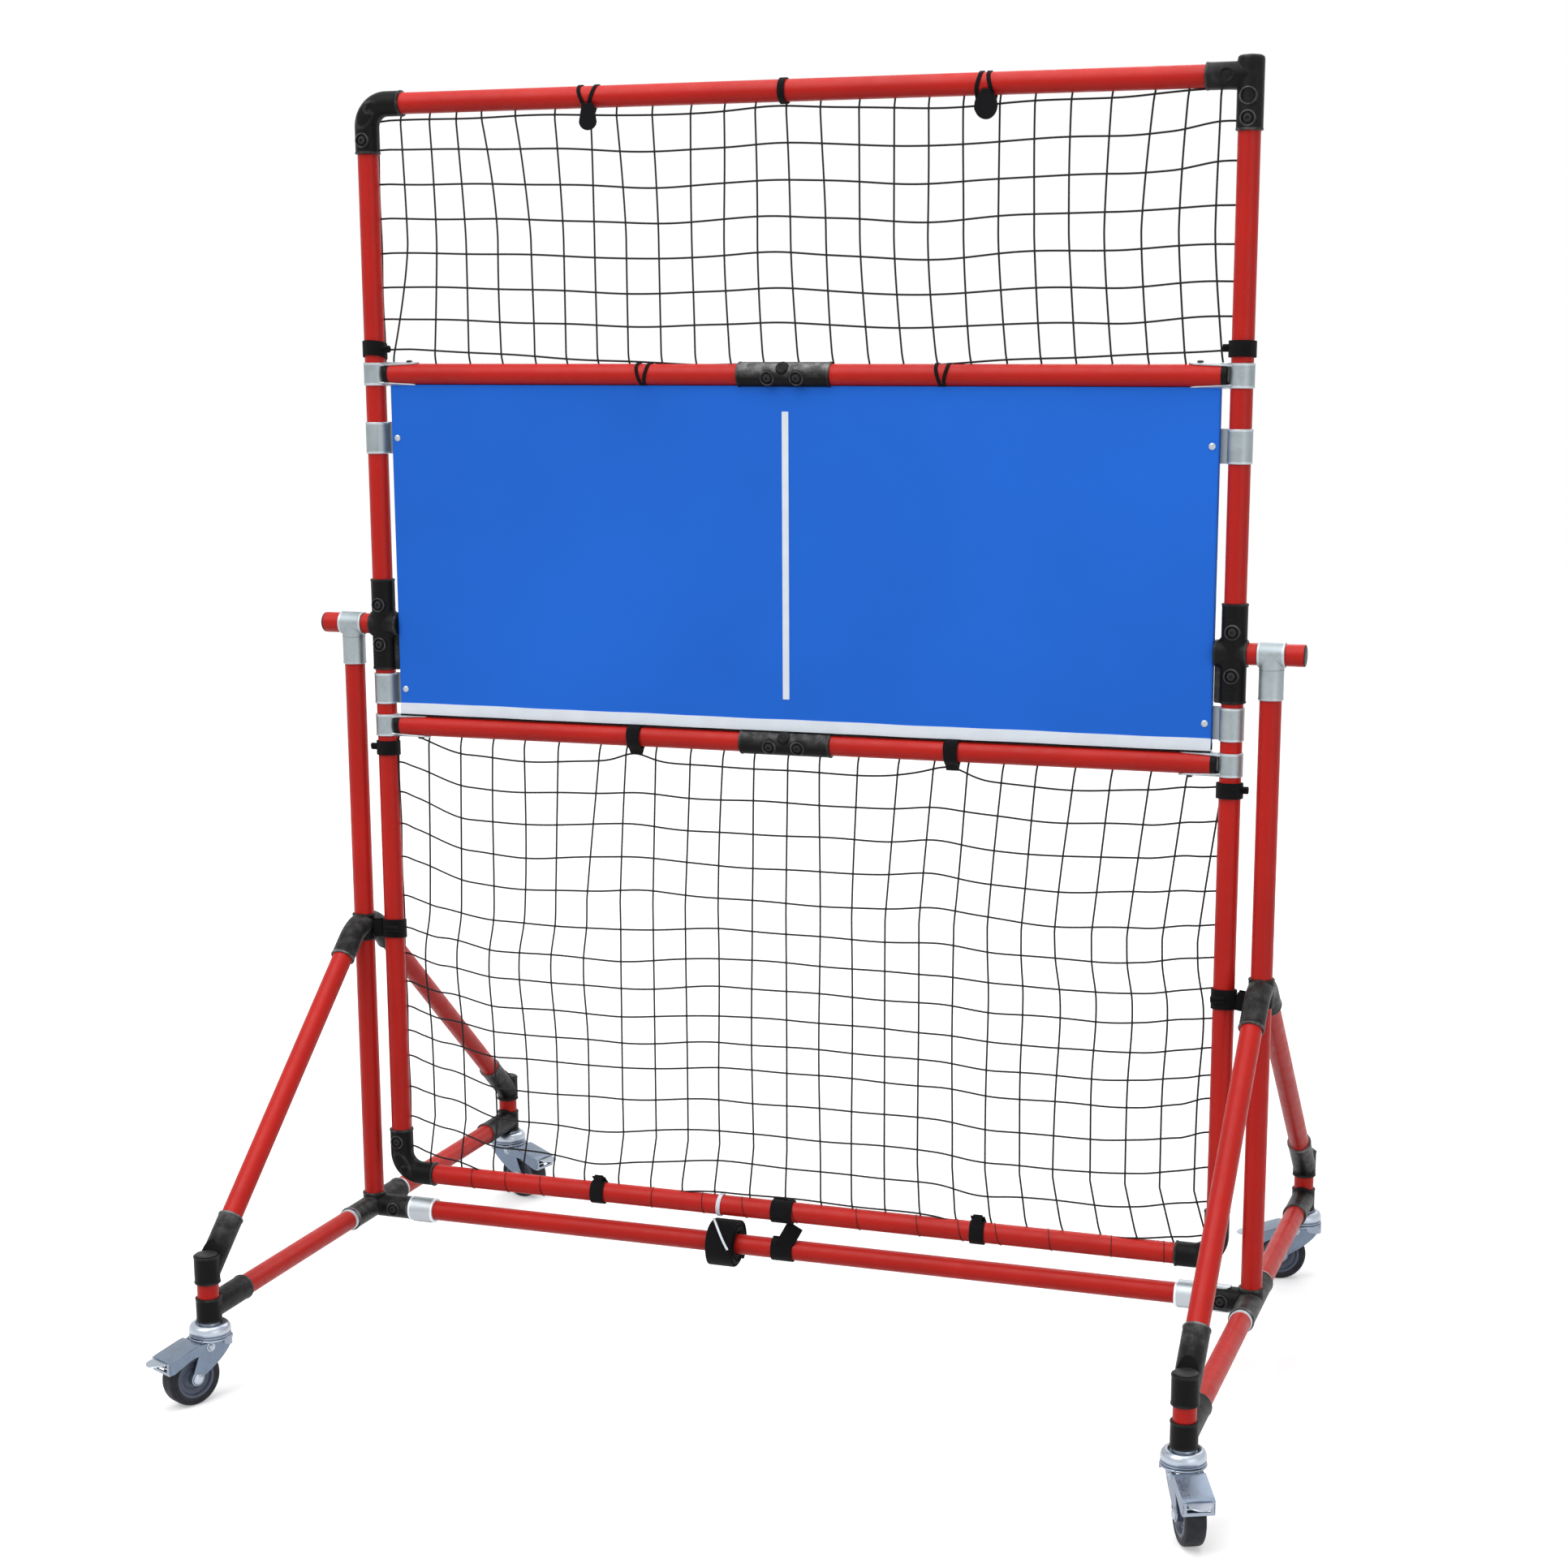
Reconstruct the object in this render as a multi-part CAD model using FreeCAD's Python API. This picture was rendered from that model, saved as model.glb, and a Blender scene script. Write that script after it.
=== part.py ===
"""Wheeled rebound net for pickleball practice.

A red pipe frame holds a blue rebound board between two square-mesh nets. The frame turns about two
stub pipes in swivel tees on a braced stand, and the stand rolls on four braked swivel casters.
All sizes are millimetres. +Z is up, +X runs to the player's right and +Y away from the player.
"""

import math
import os

import FreeCAD
import Part

Vector = FreeCAD.Vector
X = Vector(1, 0, 0)
Y = Vector(0, 1, 0)
Z = Vector(0, 0, 1)

# Pipe system
pipe_d = 28.0
pipe_wall = 2.0
seat_gap = 0.15
joint_sheet = 2.3
clamp_sheet = 1.6
butt_gap = 1.0
running_gap = 0.05
turn_gap = 0.3
soft_gap = 0.3

# Net frame
frame_width = 1190.0
top_z = 1670.0
upper_rail_z = 1315.0
lower_rail_z = 832.0
bottom_z = 177.0
elbow_bend = 30.0
elbow_up_arm = 65.0
elbow_side_arm = 54.0
elbow_screw_place = 47.5
splice_length = 128.0
splice_screw_span = 40.0
splice_screw_tilt = -15.0
splice_knob_tilt = 36.0
top_joint_screw_drop = 51.0
top_joint_round = 4.6
rail_clamp_height = 31.0
rail_ear_length = 66.0
rail_ear_width = 24.0
rail_ear_tip = 12.0

# Tilt pivot
pivot_z = 973.0
pivot_sleeve_half = 63.0
pivot_inner_arm = 24.0
pivot_screw_span = 55.0
pivot_flange_width = 7.0
pivot_flange_sheet = 5.0
stub_overhang = 41.0
tee_width = 35.0
tee_stem = 57.0
stub_coat = 0.25
cap_sheet = 2.0
cap_plug = 10.0

# Stand
upright_to_post = 48.0
base_half_depth = 455.0
caster_height = 105.0
rail_lift = 17.0
corner_post_height = 90.0
corner_arm = 85.0
corner_collar_low = 33.0
corner_collar_high = 38.0
brace_low_offset = 24.0
brace_top_z = 565.0
brace_top_arm = 90.0
brace_top_collar = 38.0
brace_top_drop = 26.0
brace_top_crown = 48.0
brace_inset = 38.0
foot_rail_arm = 75.0
foot_cross_arm = 61.0
foot_post_arm = 20.0
foot_screw_place = 38.0
cross_clamp_length = 39.0
cross_ear_reach = 35.0
cross_ear_width = 17.0

# Rebound board
board_gap = 25.0
board_width = frame_width - 2 * board_gap
board_thickness = 12.0
board_top_gap = 1.5
trim_sheet = 0.8
band_height = 15.0
band_back_height = 9.0
line_place = 1.5
line_width = 9.0
line_low_margin = 27.0
line_top_margin = 29.0
bracket_height = 43.0
bracket_reach = 42.0
bracket_low_margin = 34.0
bracket_top_margin = 68.0

# Nets
strand = 2.6
upper_net_columns = 26
upper_net_rows = 7
lower_net_columns = 24
lower_net_rows = 12

# Straps
strap_sheet = 2.2
wide_strap = 21.0
narrow_strap = 9.0
narrow_strap_pitch = 13.0
top_strap_left = -269.0
top_strap_right = 266.0
upper_strap_left = -197.0
upper_strap_right = 214.0
lower_strap_left = -217.0
lower_strap_right = 230.0
bottom_strap_left = -285.0
bottom_strap_right = 271.0
link_strap = -8.0
link_strap_width = 31.0
link_gap = 0.6
upright_strap_top = 1347.0
upright_strap_low = 799.0
upright_strap_width = 20.0
left_tie_z = 539.0
right_tie_z = 527.0
tie_band_height = 26.0
tie_link_depth = 14.0
tab_length = 28.0
tab_width = 21.0
tie_cord_place = -100.0
tie_cord_width = 6.0
roll_place = -94.0
roll_width = 38.0
roll_turns = 6
roll_pitch = 2.9

# Screws
screw_r = 3.0
screw_head_r = 5.5
screw_head = 3.4
socket_r = 2.6
socket_depth = 2.0
boss_r = 8.5
boss_height = 2.0

# Casters
wheel_d = 75.0
tyre_width = 25.0
tyre_depth = 10.5
tyre_round = 4.0
hub_proud = 1.0
hub_recess = 5.0
hub_boss_r = 9.0
hub_rim = 4.0
axle_r = 4.0
axle_head_r = 7.0
axle_head = 4.0
trail = 32.0
leg_sheet = 2.5
leg_play = 0.6
leg_boss_r = 9.0
fork_plate = 3.0
fork_plate_r = 27.5
cup_r = 27.0
cup_height = 17.0
cup_slope = 6.0
stem_flange_r = 13.0
stem_flange = 1.6
stem_length = 42.0
kingpin_r = 6.0
kingpin_head_r = 9.0
kingpin_head = 3.4
pedal_sheet = 2.0
pedal_pin_x = 12.0
pedal_pin_drop = 9.7
pedal_pin_r = 2.5
pedal_pin_head = 1.6
pedal_pin_head_r = 3.5
pedal_eye = 7.5
pedal_heel = 6.3
pedal_cheek_drop = 10.0
pedal_cheek_foot = 7.5
pedal_start = 29.5
pedal_face_x = 76.0
pedal_face_drop = 15.7
pedal_face_height = 17.0
pedal_slot_height = 4.0
pedal_slot_width = 28.0
pedal_slot_drop = 3.0
pedal_slot_web = 2.0
pedal_lip_reach = 95.0
pedal_lip_half = 15.0
pedal_lip_corner = 4.0
front_caster_turn = 25.0
rear_caster_turn = 74.0

# Worked out from the values above
pipe_r = pipe_d / 2
pipe_bore = pipe_r - pipe_wall
seat_r = pipe_r + seat_gap
joint_r = seat_r + joint_sheet
clamp_r = seat_r + clamp_sheet
strap_in = pipe_r + soft_gap
strap_out = strap_in + strap_sheet
net_edge = strap_out + soft_gap
roll_outer_r = strap_out + roll_pitch * roll_turns
upright_x = frame_width / 2
post_x = upright_x + upright_to_post
base_z = caster_height + rail_lift
corner_top_z = caster_height + corner_post_height
brace_low_z = corner_top_z - brace_low_offset
brace_rise = brace_top_z - brace_low_z
wheel_r = wheel_d / 2
lip_x = pedal_lip_reach
lip_y = pedal_lip_half


def tilted(angle):
    """The direction that points to the front, turned up by this many degrees."""
    a = math.radians(angle)
    return Vector(0, -math.cos(a), math.sin(a))


def forward_reach(turn):
    """How far in front of its stem a caster turned by this many degrees reaches with its pedal."""
    a = math.radians(turn)
    corners = [(lip_x, lip_y - pedal_lip_corner), (lip_x - pedal_lip_corner, lip_y)]
    return max(x * math.cos(a) + y * math.sin(a) for x, y in corners)


# The origin lies on the floor under the middle of the whole, so the pipe frame stands behind it
plane_y = (forward_reach(front_caster_turn) - fork_plate_r) / 2


def at(x, y, z):
    return Vector(x, y, z)


def rod(start, end, radius):
    """A round bar between two points."""
    return Part.makeCylinder(radius, (end - start).Length, start, end - start)


def tube(start, end, outer, inner):
    return rod(start, end, outer).cut(rod(start, end, inner))


def pipe(start, end):
    return tube(start, end, pipe_r, pipe_bore)


def block(x_range, y_range, z_range):
    """A box between two values along each axis."""
    corner = at(x_range[0], y_range[0], z_range[0])
    size = [r[1] - r[0] for r in (x_range, y_range, z_range)]
    return Part.makeBox(size[0], size[1], size[2], corner)


def prism(points, push):
    """A flat outline pushed along a vector into a solid."""
    wire = Part.makePolygon(points + [points[0]])
    return Part.Face(wire).extrude(push)


def joined(shapes):
    """Several solids fused into one, with leftover seams removed."""
    if len(shapes) == 1:
        return shapes[0]
    return shapes[0].fuse(shapes[1:]).removeSplitter()


def stamped(outer, bores):
    """A joint's outer shapes fused, then opened for the pipes and screws that pass through."""
    shape = joined(outer)
    for bore in bores:
        shape = shape.cut(bore)
    return shape


def bend(corner, first, second, radius):
    """A quarter turn round a corner between two arm directions."""
    start = corner + first * elbow_bend
    centre = corner + (first + second) * elbow_bend
    disc = Part.Face(Part.Wire(Part.makeCircle(radius, start, first)))
    return disc.revolve(centre, second.cross(first), 90)


def elbow_solid(corner, first, first_arm, second, second_arm, radius):
    arms = [
        bend(corner, first, second, radius),
        rod(corner + first * elbow_bend, corner + first * first_arm, radius),
        rod(corner + second * elbow_bend, corner + second * second_arm, radius),
    ]
    return joined(arms)


def elbow(corner, first, first_arm, second, second_arm):
    """A bent joint that holds one pipe in each arm."""
    outer = elbow_solid(corner, first, first_arm, second, second_arm, joint_r)
    inner = elbow_solid(corner, first, first_arm, second, second_arm, seat_r)
    return outer.cut(inner)


def screw(place, normal, surface=joint_r):
    """A screw through a joint's wall, with its head on the boss outside."""
    seat = place + normal * (surface + boss_height)
    head = rod(seat, seat + normal * screw_head, screw_head_r)
    socket = rod(seat + normal * (screw_head - socket_depth), seat + normal * screw_head, socket_r)
    shank = rod(place + normal * (seat_r + seat_gap), seat, screw_r)
    return head.cut(socket).fuse(shank).removeSplitter()


def boss(place, normal, surface=joint_r):
    """The raised round pad under a screw's head."""
    return rod(place, place + normal * (surface + boss_height), boss_r)


def screw_hole(place, normal, surface=joint_r):
    start = place + normal * pipe_bore
    return rod(start, place + normal * (surface + boss_height + 1), screw_r + seat_gap)


def band(centre, axis, width, inner=strap_in, outer=strap_out):
    """A strap's ring round a pipe."""
    half = axis * (width / 2)
    return tube(centre - half, centre + half, outer, inner)


nodes = {}


def add(name, *shapes):
    """Keeps the solids of one node under its name."""
    nodes.setdefault(name, []).extend(shapes)


def sides():
    return (("left", -1), ("right", 1))


def make_uprights():
    """Two pipes a side, butting on the stub pipe inside the pivot joint."""
    meet = pipe_r + butt_gap
    for name, s in sides():
        x = s * upright_x
        top = top_z - elbow_bend - butt_gap if s < 0 else top_z + pipe_r - joint_sheet
        low = pipe(at(x, 0, bottom_z + elbow_bend + butt_gap), at(x, 0, pivot_z - meet))
        high = pipe(at(x, 0, pivot_z + meet), at(x, 0, top))
        add(name + "_uprights", low, high)


def make_cross_pipes():
    """The four pipes that cross the frame, the two middle ones halved at their splices."""
    bent_end = upright_x - elbow_bend - butt_gap
    tee_end = upright_x - pipe_r - butt_gap
    add("top_tube", pipe(at(-bent_end, 0, top_z), at(tee_end, 0, top_z)))
    add("bottom_tube", pipe(at(-bent_end, 0, bottom_z), at(bent_end, 0, bottom_z)))
    rail_end = upright_x - clamp_r - butt_gap
    for name, z in (("upper_rail_tubes", upper_rail_z), ("lower_rail_tubes", lower_rail_z)):
        for s in (-1, 1):
            add(name, pipe(at(s * butt_gap, 0, z), at(s * rail_end, 0, z)))


def make_splices():
    """Straight joints over the middle of both rails, each with two screws and a round knob."""
    half = splice_length / 2
    for z in (upper_rail_z, lower_rail_z):
        centre = at(0, 0, z)
        places = [centre + X * (s * splice_screw_span / 2) for s in (-1, 1)]
        front = tilted(splice_screw_tilt)
        outer = [rod(centre - X * half, centre + X * half, joint_r), boss(centre, tilted(splice_knob_tilt))]
        outer += [boss(p, front) for p in places]
        bores = [rod(centre - X * half, centre + X * half, seat_r)]
        bores += [screw_hole(p, front) for p in places]
        add("rail_splices", stamped(outer, bores))
        add("frame_screws", *[screw(p, front) for p in places])


def make_elbows():
    """Bent joints at three corners of the frame, each with a screw in its upright arm."""
    corners = (
        ("top_left_elbow", -1, top_z, -1),
        ("bottom_elbows", -1, bottom_z, 1),
        ("bottom_elbows", 1, bottom_z, 1),
    )
    for name, s, z, up in corners:
        corner = at(s * upright_x, 0, z)
        shell = elbow(corner, Z * up, elbow_up_arm, X * -s, elbow_side_arm)
        place = corner + Z * (up * elbow_screw_place)
        bores = [screw_hole(place, -Y), rod(place - Z * boss_r, place + Z * boss_r, seat_r)]
        add(name, stamped([shell, boss(place, -Y)], bores))
        add("frame_screws", screw(place, -Y))


def make_top_right_joint():
    """A tee that closes over the right upright and takes the top tube at its side."""
    corner = at(upright_x, 0, top_z)
    low = corner - Z * elbow_up_arm
    high = corner + Z * joint_r
    post = rod(low, high, joint_r)
    crown = [e for e in post.Edges if abs(e.BoundBox.ZMin - high.z) < 0.01 and len(e.Vertexes) == 1]
    post = post.makeFillet(top_joint_round, crown)
    arm = rod(corner, corner - X * elbow_side_arm, joint_r)
    place = corner - Z * top_joint_screw_drop
    bores = [
        rod(low, corner + Z * (pipe_r - joint_sheet + butt_gap), seat_r),
        rod(corner - X * pipe_r, corner - X * elbow_side_arm, seat_r),
        screw_hole(place, -Y),
    ]
    add("top_right_joint", stamped([post, arm, boss(place, -Y)], bores))
    add("frame_screws", screw(place, -Y))


def make_pivots():
    """Cross joints on the uprights and the stub pipes that the frame turns about.

    A stub has no coat where it turns in its tee, and its coated end stands free outside.
    """
    for _name, s in sides():
        centre = at(s * upright_x, 0, pivot_z)
        inner = centre - X * (s * pivot_inner_arm)
        collar_out = centre + X * (s * (joint_r + butt_gap))
        stub_end = centre + X * (s * (upright_to_post + stub_overhang))
        half = Z * pivot_sleeve_half
        places = [centre + Z * (k * pivot_screw_span / 2) for k in (-1, 1)]
        flange_x = sorted((centre.x - s * (joint_r + pivot_flange_width), centre.x))
        flange = block(
            flange_x,
            (-pivot_flange_sheet / 2, pivot_flange_sheet / 2),
            (pivot_z - pivot_sleeve_half, pivot_z),
        )
        outer = [
            rod(centre - half, centre + half, joint_r),
            rod(inner, collar_out, joint_r),
            flange,
        ]
        outer += [boss(p, -Y) for p in places]
        bores = [rod(centre - half, centre + half, seat_r), rod(inner, collar_out, seat_r)]
        bores += [screw_hole(p, -Y) for p in places]
        add("pivot_joints", stamped(outer, bores))
        add("frame_screws", *[screw(p, -Y) for p in places])
        out = X * s
        post = at(s * post_x, 0, pivot_z)
        bare = out * (tee_width / 2 + butt_gap)
        worn = tube(post - bare, post + bare, pipe_r + stub_coat, pipe_r - stub_coat)
        add("pivot_stubs", pipe(inner, stub_end).cut(worn))
        plug = rod(stub_end - out * cap_plug, stub_end, pipe_bore - seat_gap)
        disc = rod(stub_end, stub_end + out * cap_sheet, pipe_r - stub_coat)
        add("stub_caps", plug.fuse(disc).removeSplitter())


def ear(start, away, up, length, seat, root_half, tip_half):
    """A flat tapering strip of a clamp, lying along a pipe just outside it."""
    base = start + up * seat
    side = away.cross(up)
    tip = base + away * length
    outline = [base - side * root_half, base + side * root_half, tip + side * tip_half, tip - side * tip_half]
    return prism(outline, up * clamp_sheet)


def make_rail_clamps():
    """Zinc collars round the uprights whose two ears hold a rail's end from above and below."""
    for z in (upper_rail_z, lower_rail_z):
        for _name, s in sides():
            centre = at(s * upright_x, 0, z)
            half = Z * (rail_clamp_height / 2)
            outer = [rod(centre - half, centre + half, clamp_r)]
            for up in (Z, -Z):
                outer.append(ear(centre, X * -s, up, rail_ear_length, seat_r, rail_ear_width / 2, rail_ear_tip / 2))
            add("rail_end_clamps", stamped(outer, [rod(centre - half * 2, centre + half * 2, seat_r)]))


board_bottom_z = lower_rail_z + net_edge + trim_sheet
board_top_z = upper_rail_z - joint_r - board_top_gap
bracket_zs = (board_bottom_z + bracket_low_margin, board_top_z - bracket_top_margin)
bracket_screw_x = upright_x - (bracket_reach + board_gap) / 2


def make_board():
    """The rebound board, with a white edge trim below and a white line up its middle."""
    half = board_width / 2
    face = board_thickness / 2
    board = block((-half, half), (-face, face), (board_bottom_z, board_top_z))
    for z in bracket_zs:
        for s in (-1, 1):
            place = at(s * bracket_screw_x, -face - 1, z)
            board = board.cut(rod(place, place + Y * (board_thickness + 2), screw_r + seat_gap))
    add("rebound_board", board)
    low = board_bottom_z - trim_sheet
    band_top = board_bottom_z + band_height
    trim = [
        block((-half, half), (-face - trim_sheet, -face), (low, band_top)),
        block((-half, half), (-face, face), (low, board_bottom_z)),
        block((-half, half), (face, face + trim_sheet), (low, board_bottom_z + band_back_height)),
    ]
    add("board_stripes", joined(trim))
    line_x = (line_place - line_width / 2, line_place + line_width / 2)
    line_z = (band_top + line_low_margin, board_top_z - line_top_margin)
    add("board_stripes", block(line_x, (-face - trim_sheet, -face), line_z))


def make_brackets():
    """Zinc saddles round the uprights that carry the board from behind, with their screws."""
    face = board_thickness / 2
    for z in bracket_zs:
        for _name, s in sides():
            centre = at(s * upright_x, 0, z)
            half = Z * (bracket_height / 2)
            tongue_x = sorted((centre.x, centre.x - s * bracket_reach))
            tongue_z = (z - bracket_height / 2, z + bracket_height / 2)
            tongue = block(tongue_x, (face, face + clamp_sheet), tongue_z)
            place = at(s * bracket_screw_x, face, z)
            outer = [rod(centre - half, centre + half, clamp_r), tongue]
            bores = [
                rod(centre - half, centre + half, seat_r),
                rod(place - Y, place + Y * (clamp_sheet + 1), screw_r + seat_gap),
            ]
            add("board_brackets", stamped(outer, bores))
            front = at(place.x, -face, z)
            nut = place + Y * clamp_sheet
            bolt = [
                rod(front - Y * (screw_head / 2), front, screw_head_r),
                rod(front, nut, screw_r),
                rod(nut, nut + Y * screw_head, screw_head_r),
            ]
            add("frame_screws", joined(bolt))


def rounded_box(x_range, z_range, radii):
    """A rectangle's outline with each corner's own radius, from the low left one anticlockwise."""
    (x0, x1), (z0, z1) = x_range, z_range
    corners = (at(x0, 0, z0), at(x1, 0, z0), at(x1, 0, z1), at(x0, 0, z1))
    along = (X, Z, -X, -Z)
    edges = []
    for k, corner in enumerate(corners):
        before = corner - along[k - 1] * radii[k]
        after = corner + along[k] * radii[k]
        if radii[k] > 0:
            inset = radii[k] * (1 - math.sqrt(0.5))
            middle = corner + (along[k] - along[k - 1]) * inset
            edges.append(Part.Arc(before, middle, after).toShape())
        following = (k + 1) % len(corners)
        end = corners[following] - along[k] * radii[following]
        edges.append(Part.makeLine(after, end))
    return Part.Wire(edges)


def net(low, high, columns, rows):
    """A flat square-mesh net: one face with a hole for each gap, pushed to its strands' thickness."""
    half = upright_x - net_edge
    width = (2 * half - strand) / columns
    height = (high - low - strand) / rows
    turn = elbow_bend - net_edge
    wires = [rounded_box((-half, half), (low, high), [turn] * 4)]
    for i in range(columns):
        for k in range(rows):
            x = -half + strand + i * width
            z = low + strand + k * height
            at_corner = ((i, k) == (0, 0), (i, k) == (columns - 1, 0))
            at_corner += ((i, k) == (columns - 1, rows - 1), (i, k) == (0, rows - 1))
            radii = [turn - strand if hit else 0 for hit in at_corner]
            wires.append(rounded_box((x, x + width - strand), (z, z + height - strand), radii))
    sheet = Part.makeFace(Part.makeCompound(wires), "Part::FaceMakerBullseye")
    sheet.translate(Y * (-strand / 2))
    return sheet.extrude(Y * strand)


def make_nets():
    add("upper_net", net(upper_rail_z + net_edge, top_z - net_edge, upper_net_columns, upper_net_rows))
    add("lower_net", net(bottom_z + net_edge, lower_rail_z - net_edge, lower_net_columns, lower_net_rows))


def strap_pair(x, z):
    """Two narrow bands side by side on a pipe."""
    return [band(at(x + s * narrow_strap_pitch / 2, 0, z), X, narrow_strap) for s in (-1, 1)]


def ties():
    """The side and the height of each strap that ties an upright to its post."""
    return ((-1, left_tie_z), (1, right_tie_z))


def make_frame_straps():
    """Hook-and-loop bands that tie the nets to the pipes and the frame to its stand."""
    for x in (top_strap_left, top_strap_right):
        tab = block(
            (x - tab_width / 2, x + tab_width / 2),
            (-strap_out, -strap_in),
            (top_z - strap_out - tab_length, top_z),
        )
        add("frame_straps", joined(strap_pair(x, top_z) + [tab]))
    for x in (upper_strap_left, upper_strap_right):
        add("frame_straps", *strap_pair(x, upper_rail_z))
    singles = (
        (lower_strap_left, lower_rail_z),
        (lower_strap_right, lower_rail_z),
        (bottom_strap_left, bottom_z),
        (bottom_strap_right, bottom_z),
    )
    for x, z in singles:
        add("frame_straps", band(at(x, 0, z), X, wide_strap))
    add("frame_straps", band(at(0, 0, top_z), X, narrow_strap))
    add("frame_straps", band(at(link_strap, 0, bottom_z), X, link_strap_width))
    add("frame_straps", band(at(tie_cord_place, 0, bottom_z), X, tie_cord_width))
    for s, tie_z in ties():
        for z in (upright_strap_top, upright_strap_low):
            add("frame_straps", band(at(s * upright_x, 0, z), Z, upright_strap_width))
        add("frame_straps", band(at(s * upright_x, 0, tie_z), Z, tie_band_height))


def make_posts():
    """Upright posts of the stand, each with the swivel tee that the frame's stub turns in."""
    stub_bore = pipe_r + running_gap
    tee_r = stub_bore + clamp_sheet
    for name, s in sides():
        foot = at(post_x * s, 0, base_z + pipe_r + butt_gap)
        head = at(post_x * s, 0, pivot_z - tee_r - butt_gap)
        add(name + "_post", pipe(foot, head))
        centre = at(post_x * s, 0, pivot_z)
        half = X * (tee_width / 2)
        stem = centre - Z * tee_stem
        bores = [rod(stem, head + Z * butt_gap, seat_r), rod(centre - half, centre + half, stub_bore)]
        add("swivel_tees", stamped([rod(centre - half, centre + half, tee_r), rod(stem, centre, clamp_r)], bores))


def corners():
    """Sign of x and y at each caster's corner."""
    return (
        ("front_left", -1, -1),
        ("front_right", 1, -1),
        ("rear_left", -1, 1),
        ("rear_right", 1, 1),
    )


def brace_line(sx, sy):
    """A brace's two ends on the axes of the corner post and the stand's post."""
    low = at(sx * post_x, sy * base_half_depth, brace_low_z)
    high = at(sx * post_x, 0, brace_top_z)
    return low, high, (high - low).normalize()


def make_base():
    """Floor rails, braces and short corner posts, with the joints between them."""
    for name, sx, sy in corners():
        side = name.split("_")[1]
        corner = at(sx * post_x, sy * base_half_depth, 0)
        foot = corner + Z * caster_height
        head = corner + Z * corner_top_z
        add("corner_posts", pipe(foot, head))
        plug = rod(head - Z * cap_plug, head, pipe_bore - seat_gap)
        add("corner_caps", plug.fuse(rod(head, head + Z * cap_sheet, pipe_r)).removeSplitter())
        inward = Y * -sy
        level = corner + Z * base_z
        rail_start = level + inward * (joint_r + butt_gap)
        rail_end = at(sx * post_x, sy * (pipe_r + butt_gap), base_z)
        add(side + "_rails", pipe(rail_start, rail_end))
        collar_top = foot + Z * corner_collar_low
        post_bore = rod(foot, head + Z * pipe_d, seat_r)
        rail_arm_end = level + inward * corner_arm
        add(
            "rail_corner_joints",
            stamped(
                [rod(foot, collar_top, joint_r), rod(level, rail_arm_end, joint_r)],
                [post_bore, rod(rail_start - inward * butt_gap, rail_arm_end, seat_r)],
            ),
        )
        low, high, along = brace_line(sx, sy)
        brace_start = low + along * brace_inset
        brace_end = high - along * brace_inset
        add(name + "_brace", pipe(brace_start, brace_end))
        collar_foot = head - Z * corner_collar_high
        brace_arm_end = low + along * corner_arm
        add(
            "brace_corner_joints",
            stamped(
                [rod(collar_foot, head, joint_r), rod(low, brace_arm_end, joint_r)],
                [
                    post_bore,
                    rod(brace_start - along * butt_gap, brace_arm_end, seat_r),
                    rod(level, collar_foot, pipe_d),
                ],
            ),
        )


def make_post_joints():
    """Joints on each post: the braces' upper joint and the foot where rails and cross tube meet."""
    for _name, s in sides():
        post = at(s * post_x, 0, 0)
        ring = post + Z * (brace_top_z - brace_top_drop)
        half = Z * (brace_top_collar / 2)
        outer = [rod(ring - half, ring + half, joint_r)]
        bores = [rod(post + Z * base_z, post + Z * pivot_z, seat_r)]
        for sy in (-1, 1):
            _low, high, along = brace_line(s, sy)
            far = high - along * brace_top_arm
            outer.append(rod(high, far, joint_r))
            bores.append(rod(high - along * (brace_inset - butt_gap), far, seat_r))
        top = ring + half
        middle = top - Z * brace_top_crown
        above = block(
            (top.x - joint_r, top.x + joint_r),
            (-brace_top_crown, brace_top_crown),
            (middle.z, top.z + brace_top_crown),
        )
        crown = rod(middle - X * joint_r, middle + X * joint_r, brace_top_crown)
        add("brace_top_joints", stamped(outer, bores + [above.cut(crown)]))
        centre = post + Z * base_z
        across = X * -s
        outer = [
            rod(centre - Y * foot_rail_arm, centre + Y * foot_rail_arm, joint_r),
            rod(centre, centre + across * foot_cross_arm, joint_r),
            rod(centre, centre + Z * foot_post_arm, joint_r),
        ]
        stop = pipe_r + butt_gap
        bores = [
            rod(centre - Y * foot_rail_arm, centre - Y * (stop - butt_gap), seat_r),
            rod(centre + Y * foot_rail_arm, centre + Y * (stop - butt_gap), seat_r),
            rod(centre + across * (stop - butt_gap), centre + across * foot_cross_arm, seat_r),
            rod(centre + Z * (stop - butt_gap), centre + Z * foot_post_arm, seat_r),
        ]
        place = centre + across * foot_screw_place
        outer.append(boss(place, -Y))
        bores.append(screw_hole(place, -Y))
        add("foot_joints", stamped(outer, bores))
        add("stand_screws", screw(place, -Y))


def make_cross_tube():
    """The tube between the stand's feet, with a zinc clamp at each end."""
    end = post_x - pipe_r - butt_gap
    add("cross_tube", pipe(at(-end, 0, base_z), at(end, 0, base_z)))
    for _name, s in sides():
        start = at(s * (post_x - foot_cross_arm - seat_gap), 0, base_z)
        stop = start - X * (s * cross_clamp_length)
        outer = [rod(start, stop, clamp_r + clamp_sheet)]
        if s > 0:
            for up in (Z, -Z):
                length = cross_clamp_length + cross_ear_reach
                wide = cross_ear_width / 2
                outer.append(ear(stop, X, up, length, joint_r + seat_gap, wide, wide))
        bores = [rod(start + X * s, stop - X * s, seat_r)]
        add("cross_tube_clamps", stamped(outer, bores))


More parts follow.
